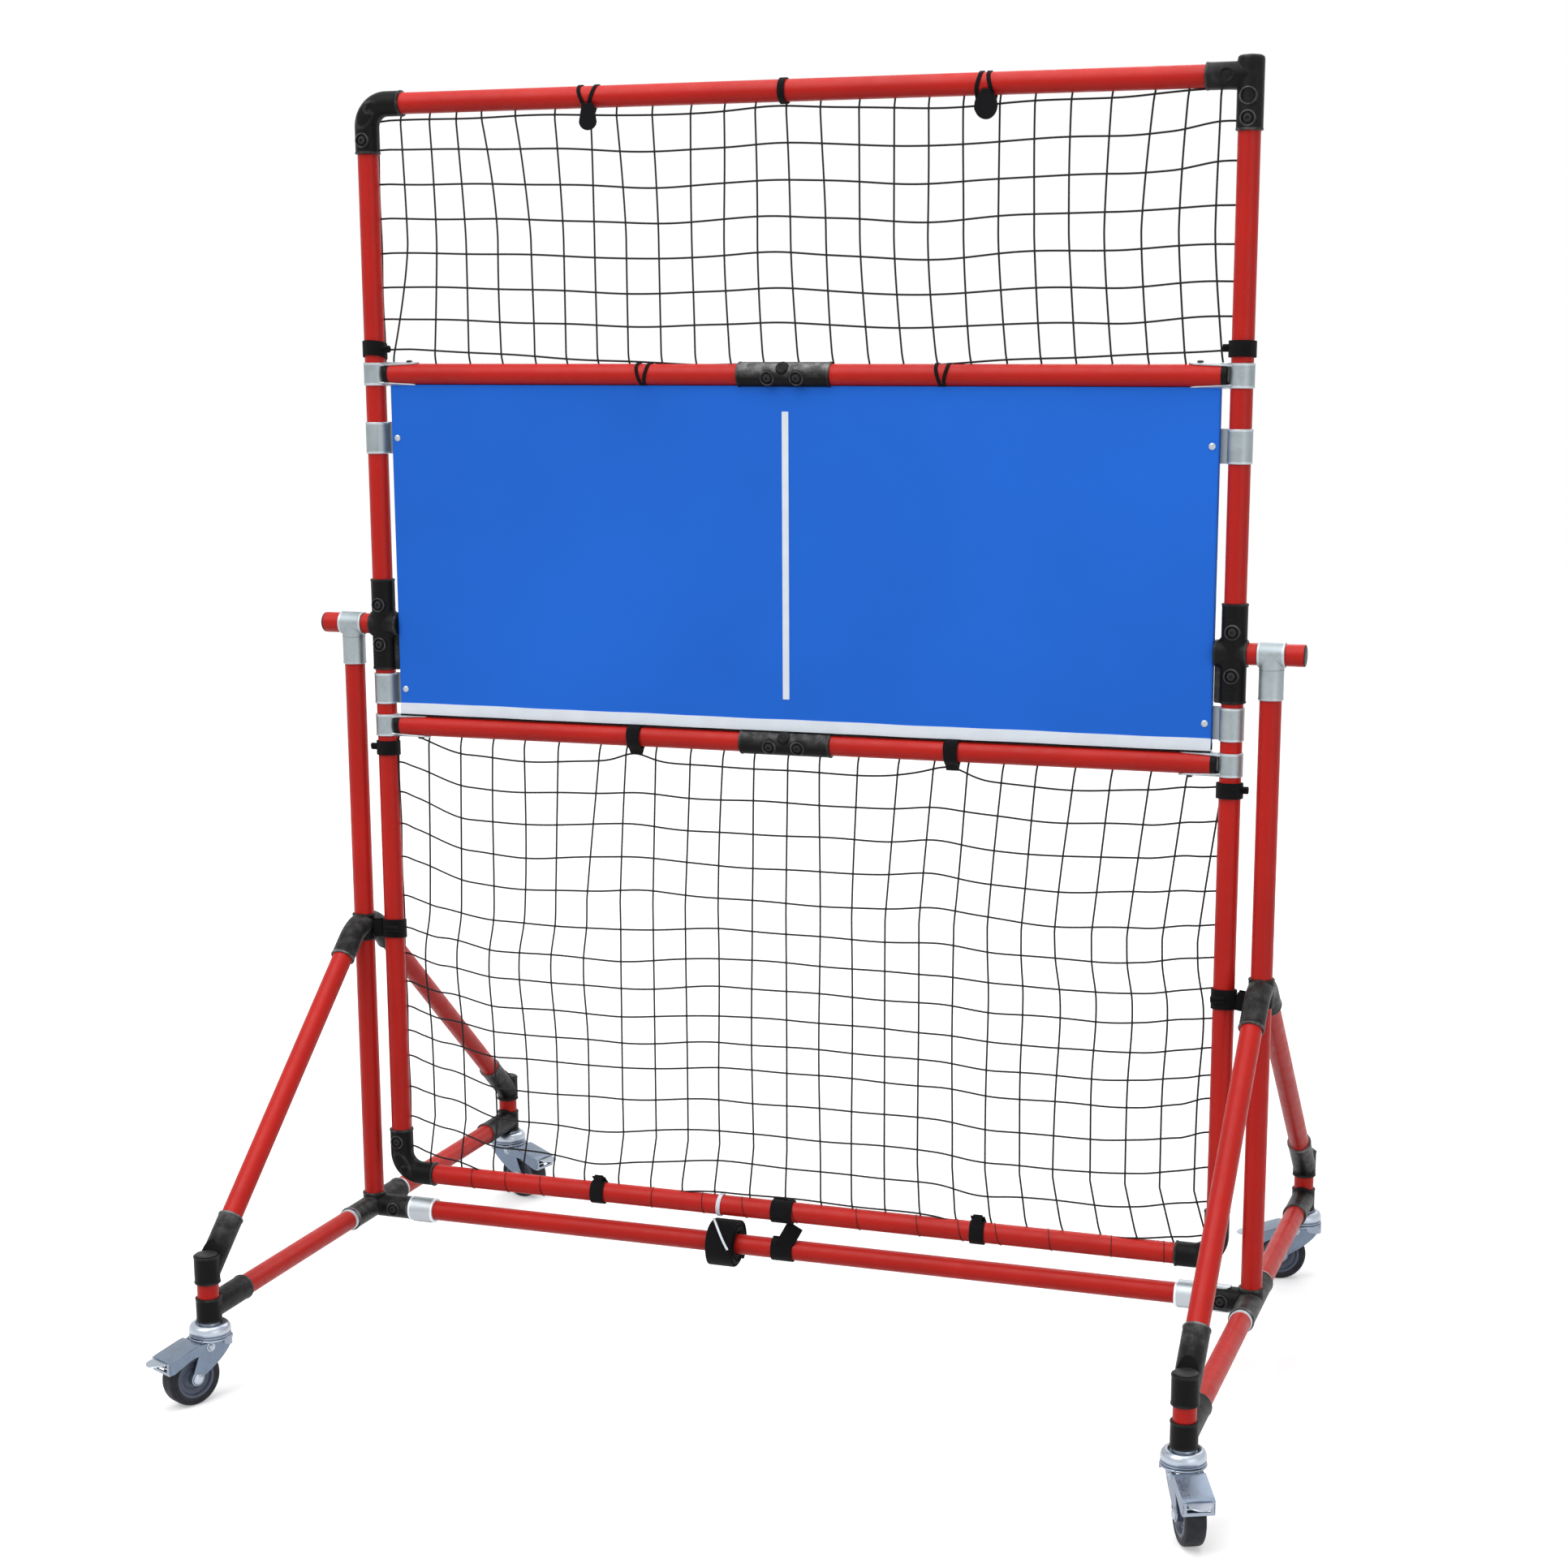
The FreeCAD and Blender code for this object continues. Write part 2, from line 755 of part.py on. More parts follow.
def make_stand_straps():
    """Bands on the stand whose free ends reach up to the frame's own bands."""
    half = tie_band_height / 2
    deep = tie_link_depth / 2
    for s, tie_z in ties():
        gap = sorted((s * (upright_x + net_edge), s * (post_x - joint_r - soft_gap)))
        add("stand_straps", block(gap, (-deep, deep), (tie_z - half, tie_z + half)))
    link_half = link_strap_width / 2
    link = block(
        (link_strap - link_half, link_strap + link_half),
        (-strap_sheet / 2, strap_sheet / 2),
        (base_z + strap_in, bottom_z - strap_out - link_gap),
    )
    around = band(at(link_strap, 0, base_z), X, link_strap_width)
    add("stand_straps", joined([around, link]))


def make_strap_roll():
    """A spare strap wound round the cross tube, as half turns whose radius grows steadily."""
    growth = roll_pitch / 2
    arcs = []
    for k in range(roll_turns * 2):
        up = 1 if k % 2 == 0 else -1
        centre = 0 if up > 0 else growth
        r = strap_in + strap_sheet / 2 + growth * k
        ends = (at(0, centre + up * r, 0), at(0, centre - up * r, 0))
        arcs.append(Part.Arc(ends[0], at(0, centre, up * r), ends[1]).toShape())
    first = strap_in
    half = roll_width / 2
    section = [at(-half, first, 0), at(half, first, 0)]
    section += [p + Y * strap_sheet for p in reversed(section)]
    profile = Part.makePolygon(section + [section[0]])
    path = Part.Wire(arcs)
    roll = path.makePipeShell([profile], True, False)
    if roll.Volume < 0:
        roll.reverse()
    roll.translate(at(roll_place, 0, base_z))
    add("strap_roll", roll)
    least = roll_outer_r
    for inner, outer in zip(arcs, arcs[2:]):
        for point in inner.discretize(24):
            least = min(least, outer.distToShape(Part.Vertex(point))[0] - strap_sheet)
    share = roll.Volume / (path.Length * roll_width * strap_sheet)
    print("strap roll: %d turns, least gap %.2f mm, volume share %.4f" % (roll_turns, least, share))


fork_top = caster_height - stem_flange - cup_height
fork_under = fork_top - turn_gap - fork_plate
leg_in = tyre_width / 2 + hub_proud + leg_play
leg_out = leg_in + leg_sheet
pin_z = fork_top - pedal_pin_drop
cheek_in = leg_out + turn_gap
cheek_out = cheek_in + pedal_sheet


def stem():
    """The stem with its bearing cup and kingpin, fixed in the corner post."""
    seat = caster_height - stem_flange
    cup_top = seat
    cup = rod(Z * fork_top, Z * cup_top, cup_r)
    rim = [e for e in cup.Edges if abs(e.BoundBox.ZMin - cup_top) < 0.01 and len(e.Vertexes) == 1]
    cup = cup.makeChamfer(cup_slope, rim)
    pin_low = fork_under - turn_gap
    shapes = [
        cup,
        rod(Z * seat, Z * caster_height, stem_flange_r),
        rod(Z * caster_height, Z * (caster_height + stem_length), pipe_bore - seat_gap),
        rod(Z * pin_low, Z * fork_top, kingpin_r),
        rod(Z * (pin_low - kingpin_head), Z * pin_low, kingpin_head_r),
    ]
    return joined(shapes)


def fork():
    """The swivelling fork: a round plate with two legs down to the axle."""
    top = fork_top - turn_gap
    plate = rod(Z * fork_under, Z * top, fork_plate_r)
    shapes = [plate]
    for s in (-1, 1):
        y = s * leg_in
        push = Y * (s * leg_sheet)
        chord = math.sqrt(fork_plate_r**2 - leg_out**2)
        outline = [
            at(-chord, y, top),
            at(chord + pedal_sheet, y, top),
            at(trail + leg_boss_r, y, wheel_r),
            at(trail - leg_boss_r, y, wheel_r),
        ]
        shapes.append(prism(outline, push))
        shapes.append(rod(at(trail, y, wheel_r), at(trail, y, wheel_r) + push, leg_boss_r))
    bores = [
        rod(Z * (fork_under - 1), Z * (top + 1), kingpin_r + running_gap),
        rod(at(trail, -leg_out - 1, wheel_r), at(trail, leg_out + 1, wheel_r), axle_r + running_gap),
        rod(at(pedal_pin_x, -leg_out - 1, pin_z), at(pedal_pin_x, leg_out + 1, pin_z), pedal_pin_r + running_gap),
    ]
    return stamped(shapes, bores)


def axle():
    """The wheel's bolt with a head at one end and a nut at the other."""
    ends = leg_out + axle_head
    shapes = [rod(at(trail, -ends, wheel_r), at(trail, ends, wheel_r), axle_r)]
    for s in (-1, 1):
        shapes.append(rod(at(trail, s * leg_out, wheel_r), at(trail, s * ends, wheel_r), axle_head_r))
    return joined(shapes)


def pedal_pin():
    """The rivet that the brake pedal turns on."""
    ends = cheek_out + turn_gap + pedal_pin_head
    shapes = [rod(at(pedal_pin_x, -ends, pin_z), at(pedal_pin_x, ends, pin_z), pedal_pin_r)]
    for s in (-1, 1):
        inner = at(pedal_pin_x, s * (cheek_out + turn_gap), pin_z)
        shapes.append(rod(inner, at(pedal_pin_x, s * ends, pin_z), pedal_pin_head_r))
    return joined(shapes)


def tyre():
    half = tyre_width / 2
    a, b = at(trail, -half, wheel_r), at(trail, half, wheel_r)
    solid = rod(a, b, wheel_r)
    edges = [e for e in solid.Edges if len(e.Vertexes) == 1]
    solid = solid.makeFillet(tyre_round, edges)
    return solid.cut(rod(a, b, wheel_r - tyre_depth))


def hub():
    half = tyre_width / 2
    centre = at(trail, 0, wheel_r)
    body = rod(centre - Y * half, centre + Y * half, wheel_r - tyre_depth)
    body = body.fuse(rod(centre - Y * (half + hub_proud), centre + Y * (half + hub_proud), hub_boss_r))
    for s in (-1, 1):
        face = centre + Y * (s * half)
        ring = tube(face - Y * (s * hub_recess), face + Y * s, wheel_r - tyre_depth - hub_rim, hub_boss_r)
        body = body.cut(ring)
    bore = rod(centre - Y * tyre_width, centre + Y * tyre_width, axle_r + running_gap)
    return body.cut(bore).removeSplitter()


def pedal():
    """The brake pedal: a sloping shell over the wheel with a slotted face and a toe lip."""
    top = fork_top - pedal_sheet
    face_z = fork_top - pedal_face_drop
    low = face_z - pedal_face_height
    x_end = pedal_face_x
    roof = [
        at(pedal_start, -cheek_out, top),
        at(x_end, -cheek_out, face_z),
        at(x_end, -cheek_out, face_z - pedal_sheet),
        at(pedal_start, -cheek_out, top - pedal_sheet),
    ]
    shapes = [prism(roof, Y * (cheek_out * 2))]
    front = block((x_end - pedal_sheet, x_end), (-cheek_out, cheek_out), (low, face_z))
    slots = []
    for k in (0, 1):
        z = face_z - pedal_slot_drop - k * (pedal_slot_height + pedal_slot_web)
        half = pedal_slot_width / 2
        slots.append(block((x_end - pedal_sheet - 1, x_end + 1), (-half, half), (z - pedal_slot_height, z)))
    shapes.append(front)
    inner_z = fork_under - turn_gap
    cheek = [
        (pedal_pin_x - pedal_eye, pin_z),
        (pedal_pin_x, inner_z),
        (pedal_start, inner_z),
        (x_end, face_z),
        (x_end, low),
        (x_end - pedal_cheek_foot, low),
        (pedal_pin_x + pedal_start, pin_z - pedal_cheek_drop),
        (pedal_pin_x, pin_z - pedal_heel),
    ]
    for s in (-1, 1):
        outline = [at(x, s * cheek_in, z) for x, z in cheek]
        shapes.append(prism(outline, Y * (s * pedal_sheet)))
    c = pedal_lip_corner
    lip = [
        at(x_end - pedal_sheet, -lip_y - c, face_z - pedal_sheet),
        at(lip_x - c, -lip_y, face_z - pedal_sheet),
        at(lip_x, -lip_y + c, face_z - pedal_sheet),
        at(lip_x, lip_y - c, face_z - pedal_sheet),
        at(lip_x - c, lip_y, face_z - pedal_sheet),
        at(x_end - pedal_sheet, lip_y + c, face_z - pedal_sheet),
    ]
    shapes.append(prism(lip, Z * pedal_sheet))
    reach = cheek_out + 1
    pin_hole = rod(at(pedal_pin_x, -reach, pin_z), at(pedal_pin_x, reach, pin_z), pedal_pin_r + running_gap)
    return stamped(shapes, slots + [pin_hole])


def make_casters():
    """A caster under each corner post, turned as it stands: front pedals ahead, rear pedals inward."""
    for name, sx, sy in corners():
        turn = front_caster_turn if sy < 0 else -rear_caster_turn
        heading = -90 + sx * turn
        place = FreeCAD.Placement(at(sx * post_x, sy * base_half_depth, 0), FreeCAD.Rotation(Z, heading))
        pieces = (
            ("caster_stems", stem()),
            (name + "_caster_fork", fork()),
            (name + "_caster_fork", axle()),
            (name + "_caster_fork", pedal_pin()),
            (name + "_caster_tyre", tyre()),
            (name + "_caster_hub", hub()),
            (name + "_caster_pedal", pedal()),
        )
        for node, shape in pieces:
            shape.Placement = place.multiply(shape.Placement)
            add(node, shape)


def write_parts():
    """Writes one STEP file for each node, moved so that the origin is under the middle."""
    os.makedirs("parts", exist_ok=True)
    count = 0
    for name, shapes in nodes.items():
        solids = [solid for shape in shapes for solid in shape.Solids]
        group = Part.makeCompound(solids)
        group.translate(Y * plane_y)
        if not group.isValid():
            print("not valid:", name)
        group.exportStep("parts/%s.step" % name)
        count += len(solids)
    print("nodes %d, solids %d, plane_y %.3f" % (len(nodes), count, plane_y))


make_uprights()
make_cross_pipes()
make_splices()
make_elbows()
make_top_right_joint()
make_pivots()
make_rail_clamps()
make_board()
make_brackets()
make_nets()
make_frame_straps()
make_posts()
make_base()
make_post_joints()
make_cross_tube()
make_stand_straps()
make_strap_roll()
make_casters()
write_parts()
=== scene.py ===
"""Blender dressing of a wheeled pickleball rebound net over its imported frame.

Every shape is a numpy surface: rows of rings, each ring a list of points round a section. A surface is
closed either by joining its last row to its first or by a fan at both ends. Shapes are worked out in
millimetres in the frame's own axes and become metres when a mesh is made.
"""

import math

import bpy
import numpy as np
from mathutils import Matrix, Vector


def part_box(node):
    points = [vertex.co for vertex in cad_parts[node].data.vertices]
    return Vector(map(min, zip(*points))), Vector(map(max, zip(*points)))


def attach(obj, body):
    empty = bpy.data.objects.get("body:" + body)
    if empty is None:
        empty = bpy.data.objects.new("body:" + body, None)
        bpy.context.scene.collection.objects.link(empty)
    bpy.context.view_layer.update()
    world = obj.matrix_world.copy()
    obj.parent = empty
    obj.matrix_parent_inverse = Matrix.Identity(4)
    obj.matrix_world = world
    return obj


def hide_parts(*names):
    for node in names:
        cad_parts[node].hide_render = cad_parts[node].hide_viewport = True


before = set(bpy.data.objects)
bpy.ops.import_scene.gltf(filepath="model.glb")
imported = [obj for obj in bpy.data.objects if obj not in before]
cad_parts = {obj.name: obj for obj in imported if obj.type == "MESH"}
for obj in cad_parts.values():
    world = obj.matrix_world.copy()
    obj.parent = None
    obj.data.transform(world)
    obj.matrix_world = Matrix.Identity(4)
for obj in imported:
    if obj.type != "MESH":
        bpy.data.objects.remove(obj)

bl_info = {
    "name": "Rebound Net Dressing",
    "version": (1, 0, 0),
    "blender": (4, 5, 0),
    "location": "View3D > Sidebar > Rebound Net",
    "description": "Builds the visible pieces, finishes and stage of a wheeled rebound net",
    "category": "Object",
}

X, Y, Z = np.eye(3)
FRONT = -Y
MM = 0.001
SHARP_ANGLE = math.radians(35.0)
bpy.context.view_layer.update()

# Sizes shared with the frame, in millimetres
SEAT_GAP = 0.15
TEE_BORE_R = 14.05
CLAMP_SHEET = 1.6
BRACE_LOW_Z = 171.0
BRACE_TOP_Z = 565.0
ELBOW_UP_ARM = 65.0
ELBOW_SIDE_ARM = 54.0
ELBOW_BEND = 30.0
SPLICE_HALF = 64.0
PIVOT_HALF = 63.0
PIVOT_INNER_ARM = 24.0
FOOT_HALF = 75.0
BRACKET_HALF = 21.5
BRACKET_REACH = 42.0
TAPE_SHEET = 0.8
TAPE_HEIGHT = 15.0
CAP_PLUG_R = 11.8
CORNER_ARM = 85.0
CORNER_LOW_COLLAR = 33.0
CORNER_TOP_COLLAR = 38.0
SHOULDER_LOW_Z, SHOULDER_TOP_Z = 520.0, 558.0
SHOULDER_BEND_Z = 544.0
SHOULDER_ARM = 90.0
FOOT_CROSS_ARM = 61.0
FOOT_POST_ARM = 20.0
CROSS_CLAMP = 39.0

# Places of straps and ties: x along a level pipe, z up an upright
TOP_STRAPS = (-269.0, 266.0)
UPPER_STRAPS = (-197.0, 214.0)
LOWER_STRAPS = (-217.0, 230.0)
BOTTOM_STRAPS = (-285.0, 271.0)
LINK_X = -8.0
ROLL_X = -94.0
WHITE_TIE_X = -100.0
UPRIGHT_STRAPS = (1347.0, 799.0)
SIDE_TIES = ((-1, 539.0), (1, 527.0))


def length(name, description, default):
    """A length that the panel shows, in metres."""
    return bpy.props.FloatProperty(
        name=name, description=description, default=default, unit="LENGTH", precision=4
    )


def colour(name, description, default):
    """A colour that the panel shows."""
    return bpy.props.FloatVectorProperty(
        name=name, description=description, default=default, size=3, min=0.0, max=1.0, subtype="COLOR"
    )


class NetSizes(bpy.types.PropertyGroup):
    """Sizes that the dressing adds to the frame."""

    strand: length("Strand", "Thickness of the nets' cords", 0.0028)
    lip: length("Lip", "How far a joint's rolled mouth stands proud", 0.0005)
    seam: length("Seam", "Depth of the seam between a joint's stamped halves", 0.0005)
    fillet: length("Fillet", "Fillet where a joint's arm leaves its collar", 0.005)
    boss: length("Boss", "Radius of the ring round a joint's bolt", 0.0104)
    strap: length("Strap", "Thickness of the straps", 0.0012)
    thread: length("Thread", "Thickness of the lacing thread", 0.0009)


class NetColours(bpy.types.PropertyGroup):
    """Colours of the finishes, as linear values."""

    coat: colour("Coat", "Red pipe coat", (0.53, 0.011, 0.006))
    joint: colour("Joint", "Black joint paint", (0.005, 0.005, 0.0052))
    zinc: colour("Zinc", "Plated clamps and tees", (0.27, 0.315, 0.33))
    caster: colour("Caster", "Plated casters", (0.14, 0.185, 0.26))
    steel: colour("Steel", "Screw heads", (0.02, 0.02, 0.022))
    plastic: colour("Plastic", "Pipe caps", (0.009, 0.009, 0.0095))
    rubber: colour("Rubber", "Tyres", (0.007, 0.009, 0.014))
    hub: colour("Hub", "Wheel hubs", (0.06, 0.075, 0.11))
    strap: colour("Strap", "Hook-and-loop straps", (0.003, 0.003, 0.0034))
    board: colour("Board", "Rebound board", (0.019, 0.156, 0.730))
    stripe: colour("Stripe", "White tape", (0.82, 0.89, 0.97))
    cord: colour("Cord", "Net cord", (0.009, 0.009, 0.010))
    floor: colour("Floor", "Studio floor", (0.42, 0.42, 0.42))


def size(name):
    """One of the panel's sizes in millimetres."""
    return getattr(bpy.context.scene.net_sizes, name) / MM


def shade(name):
    """One of the panel's colours with full opacity."""
    return tuple(getattr(bpy.context.scene.net_colours, name)) + (1.0,)


def span(node):
    """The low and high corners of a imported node's box, in millimetres."""
    low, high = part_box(node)
    return np.array(low) / MM, np.array(high) / MM


def middle(node):
    """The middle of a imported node's box, in millimetres."""
    low, high = span(node)
    return (low + high) / 2


class Plan:
    """Axes, radii and heights of the pipe frame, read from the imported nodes."""

    def __init__(self):
        low, high = span("top_tube")
        self.pipe_r = (high[2] - low[2]) / 2
        self.y, self.top_z = middle("top_tube")[1:]
        self.upright_x = middle("right_uprights")[0]
        self.post_x = middle("right_post")[0]
        self.bottom_z = middle("bottom_tube")[2]
        self.upper_z = middle("upper_rail_tubes")[2]
        self.lower_z = middle("lower_rail_tubes")[2]
        self.pivot_z = middle("pivot_stubs")[2]
        self.base_z = middle("cross_tube")[2]
        self.joint_r = span("foot_joints")[1][0] - self.post_x
        self.clamp_r = span("rail_end_clamps")[1][0] - self.upright_x
        self.seat_r = self.pipe_r + SEAT_GAP
        low, high = span("corner_posts")
        self.caster_z, self.corner_top = low[2], high[2]
        self.half_depth = high[1] - self.pipe_r - self.y

    def at(self, x, y, z):
        """A point whose y is measured from the pipe frame's plane."""
        return np.array([x, y + self.y, z], float)


plan = Plan()


def unit(vector):
    """Each vector divided by its own length."""
    return vector / np.linalg.norm(vector, axis=-1, keepdims=True)


def turns(count):
    """Angles of equal steps round a full turn, without the last."""
    return np.arange(count) * 2 * math.pi / count


def across(axis, front=FRONT):
    """Two directions square to the axis, the first as near to front as it can be."""
    axis = unit(axis)
    first = unit(front - axis * np.dot(front, axis))
    return first, np.cross(axis, first)


def ease(value):
    """A smooth step from 0 to 1."""
    t = np.clip(value, 0, 1)
    return t * t * (3 - 2 * t)


def bulge(value, centre, width):
    """A bell: 1 at the centre, and 1/e one width to either side of it."""
    return np.exp(-(((value - centre) / width) ** 2))


class Form:
    """Closed surfaces gathered into one mesh, with a place and a wear value at each point: real scuffing and
    painted highlights.
    """

    def __init__(self):
        self.points, self.quads, self.triangles, self.places, self.wears = [], [], [], [], []
        self.count = 0

    def surface(self, grid, closed=False, wear=0.0, place=None):
        """Adds one closed surface from a grid of rings, turned so that its faces look outward."""
        rows, columns = grid.shape[:2]
        points = grid.reshape(-1, 3)
        wears = np.broadcast_to(wear, (rows, columns)).reshape(-1)
        places = np.broadcast_to(0.0 if place is None else place, (rows, columns, 3)).reshape(-1, 3)
        index = np.arange(rows * columns).reshape(rows, columns)
        lower = index if closed else index[:-1]
        upper = np.roll(index, -1, 0) if closed else index[1:]
        quads = np.stack([lower, np.roll(lower, -1, 1), np.roll(upper, -1, 1), upper], -1).reshape(-1, 4)
        triangles = np.zeros((0, 3), int)
        if not closed:
            poles = [index.size, index.size + 1]
            points = np.vstack([points, grid[0].mean(0), grid[-1].mean(0)])
            wears = np.append(wears, [wears[0], wears[-1]])
            places = np.vstack([places, places[:columns].mean(0), places[-columns:].mean(0)])
            first, last = index[0], index[-1]
            triangles = np.vstack([
                np.stack([np.roll(first, -1), first, np.full(columns, poles[0])], -1),
                np.stack([last, np.roll(last, -1), np.full(columns, poles[1])], -1),
            ])
        solid = np.vstack([quads[:, :3], quads[:, [0, 2, 3]], triangles])
        corners = (points - points.mean(0))[solid]
        if np.einsum("ij,ij->", corners[:, 0], np.cross(corners[:, 1], corners[:, 2])) < 0:
            quads, triangles = quads[:, ::-1], triangles[:, ::-1]
        self.points.append(points)
        self.quads.append(quads + self.count)
        self.triangles.append(triangles + self.count)
        self.places.append(places)
        self.wears.append(wears)
        self.count += len(points)

    def take(self, other):
        """Adds another form's surfaces after its own."""
        self.points += other.points
        self.quads += [quads + self.count for quads in other.quads]
        self.triangles += [triangles + self.count for triangles in other.triangles]
        self.places += other.places
        self.wears += other.wears
        self.count += other.count


def piece(name, form, body, slot, *nodes):
    """Makes one mesh object of a form in its slot's finish and hides the nodes that it stands for."""
    points = np.vstack(form.points) * MM
    quads, triangles = np.vstack(form.quads), np.vstack(form.triangles)
    loops = np.concatenate([quads.ravel(), triangles.ravel()])
    starts = np.concatenate([np.arange(len(quads)) * 4, len(quads) * 4 + np.arange(len(triangles)) * 3])
    mesh = bpy.data.meshes.new(name)
    mesh.vertices.add(len(points))
    mesh.vertices.foreach_set("co", points.ravel())
    mesh.loops.add(len(loops))
    mesh.loops.foreach_set("vertex_index", loops)
    mesh.polygons.add(len(starts))
    mesh.polygons.foreach_set("loop_start", starts)
    mesh.update(calc_edges=True)
    mesh.polygons.foreach_set("use_smooth", np.ones(len(starts), bool))
    mesh.set_sharp_from_angle(angle=SHARP_ANGLE)
    place = mesh.attributes.new("place", "FLOAT_VECTOR", "POINT")
    place.data.foreach_set("vector", np.vstack(form.places).ravel())
    wear = mesh.attributes.new("wear", "FLOAT", "POINT")
    wear.data.foreach_set("value", np.concatenate(form.wears))
    if mesh.validate():
        raise RuntimeError("the mesh of %s had faulty faces" % name)
    mesh.materials.append(finish(slot))
    piece_object = bpy.data.objects.new(name, mesh)
    bpy.context.scene.collection.objects.link(piece_object)
    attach(piece_object, body)
    if nodes:
        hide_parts(*nodes)


def around(centres, first, second, radii):
    """Rings round centres: point = centre + (first cos a + second sin a) radius."""
    angle = turns(radii.shape[1])
    first = np.broadcast_to(first, centres.shape)[:, None]
    second = np.broadcast_to(second, centres.shape)[:, None]
    ring = np.cos(angle)[None, :, None] * first + np.sin(angle)[None, :, None] * second
    return centres[:, None] + ring * radii[:, :, None]


def lathe(form, start, axis, profile, sides=48, closed=False, front=FRONT, wear=0.0, relief=None):
    """A turned surface: profile rows are (along, radius), and relief adds to the radius at each angle."""
    profile = np.array(profile, float)
    axis = unit(np.array(axis, float))
    first, second = across(axis, front)
    radii = np.repeat(profile[:, 1:], sides, 1)
    if relief is not None:
        radii = radii + relief(profile[:, :1], profile[:, 1:], turns(sides)[None])
    form.surface(around(start + axis * profile[:, :1], first, second, radii), closed, wear)


def rounded(profile, radius, steps=3):
    """A profile with each inner corner replaced by a short curve."""
    points = np.array(profile, float)
    rows = [points[0]]
    for before, corner, after in zip(points, points[1:], points[2:]):
        back, ahead = before - corner, after - corner
        reach = min(radius, np.linalg.norm(back) / 2.2, np.linalg.norm(ahead) / 2.2)
        a, b = corner + unit(back) * reach, corner + unit(ahead) * reach
        for t in np.linspace(0, 1, steps + 1):
            rows.append(a * (1 - t) ** 2 + corner * 2 * t * (1 - t) + b * t * t)
    rows.append(points[-1])
    return np.array(rows)


def mouth(outer, inner, lip):
    """Rows of (distance from the mouth, radius) over a rolled lip, from the bore outward."""
    return [
        (0.0, inner), (0.0, outer - 0.9), (0.25, outer - 0.2), (0.8, outer + lip * 0.8), (1.6, outer + lip),
        (2.6, outer + lip * 0.8), (3.6, outer + lip * 0.15), (4.6, outer),
    ]


def seamed(along, radius, angle):
    """A groove down both sides of a stamped joint, a quarter turn from its front."""
    groove = 0.02
    return -size("seam") * (np.abs(np.cos(angle)) < groove) * np.ones_like(radius)


def collar(form, start, end, outer=None, front=FRONT, lip=None, wear=0.0, seam=True, crest=0.0):
    """A joint's straight collar, bored through for its pipe, with a rolled lip at each mouth.

    Its crest is a painted highlight: a band of higher wear value centred crest_angle round from the front
    (the upper front on the splices), fading over crest_width.
    """
    sides, crest_angle, crest_width = 64, 1.66 * math.pi, 0.62
    outer = plan.joint_r if outer is None else outer
    lip = size("lip") if lip is None else lip
    reach = np.linalg.norm(end - start)
    edge = mouth(outer, plan.seat_r, lip)
    profile = edge + [(reach - a, r) for a, r in reversed(edge)]
    bright = [wear * 4 + 0.1 if 0 < a < 3 else wear for a, _r in edge]
    wears = np.array(bright + bright[::-1])[:, None]
    wears = wears + crest * bulge(turns(sides), crest_angle, crest_width)
    lathe(form, start, end - start, profile, sides, True, front, wears, seamed if seam else None)


def arm(
    form, centre, axis, main_axis, reach,
    outer=None, main_r=None, fillet=None, wear=0.0, bright=0.3, lip=None,
):
    """A joint's arm that grows out of a round collar with a fillet and ends in an open mouth.

    The root ring lies on the collar: a point w + t a off the centre has distance main_r from the main axis.
    """
    outer = plan.joint_r if outer is None else outer
    main_r = plan.joint_r if main_r is None else main_r
    fillet = size("fillet") if fillet is None else fillet
    lip = size("lip") if lip is None else lip
    axis, main_axis = unit(axis), unit(main_axis)
    first, second = across(axis, main_axis)
    angle = turns(64)
    ring = np.cos(angle)[:, None] * first + np.sin(angle)[:, None] * second
    lean = axis - main_axis * np.dot(axis, main_axis)
    open_side = np.cos(angle) ** 2
    rows, wears = [], []
    for u in np.linspace(0, 1, 6):
        radius = outer + fillet * open_side * (1 - math.sin(u * math.pi / 2))
        w = ring * radius[:, None]
        flat = w - np.outer(w @ main_axis, main_axis)
        b, c = flat @ lean, (flat * flat).sum(1) - main_r**2
        root = (-b + np.sqrt(np.maximum(b * b - lean @ lean * c, 0))) / (lean @ lean)
        rise = root + fillet * open_side * (1 - math.cos(u * math.pi / 2)) - 0.15
        rows.append(centre + w + rise[:, None] * axis)
        wears.append(wear)
    edge = mouth(outer, plan.seat_r, lip)
    for distance, radius in reversed(edge):
        rows.append(centre + ring * radius + axis * (reach - distance))
        wears.append(bright if distance < 3 else wear + 0.3 * bright)
    rows.append(centre + ring * plan.seat_r + axis * (reach - 12))
    wears.append(0.0)
    form.surface(np.array(rows), wear=np.array(wears)[:, None])


def hexagon(along, radius, angle):
    """Turns the socket's rows, those under 3 mm in radius, into a hexagon."""
    corner = math.cos(math.pi / 6) / np.cos(np.mod(angle, math.pi / 3) - math.pi / 6)
    return np.where(radius < 3, radius * (corner - 1), 0.0)


def bolt(joint, screws, place, normal=FRONT, axis=Z, ring=None):
    """A bolt in the round recess of a joint, seen down its normal. Without screws it is the ring alone."""
    surface = plan.joint_r
    ring = size("boss") if ring is None else ring
    rim = [
        (surface - 8, ring), (surface - 1.5, ring), (surface + 0.5, ring - 0.5), (surface + 1.2, ring - 1.4),
        (surface + 1.1, ring - 2.4), (surface - 0.4, ring - 3.2), (surface - 1.0, ring - 3.8),
    ]
    wears = np.array([0.0, 0.0, 0.2, 0.5, 0.2, 0.0, 0.0])[:, None]
    lathe(joint, place, normal, rim, 40, front=axis, wear=wears)
    if screws is None:
        return
    head = [
        (surface - 1.4, 5.2), (surface + 0.9, 5.2), (surface + 1.9, 4.7), (surface + 2.4, 3.6),
        (surface + 2.4, 2.7), (surface + 0.4, 2.5),
    ]
    lathe(screws, place, normal, head, 36, front=axis, relief=hexagon)


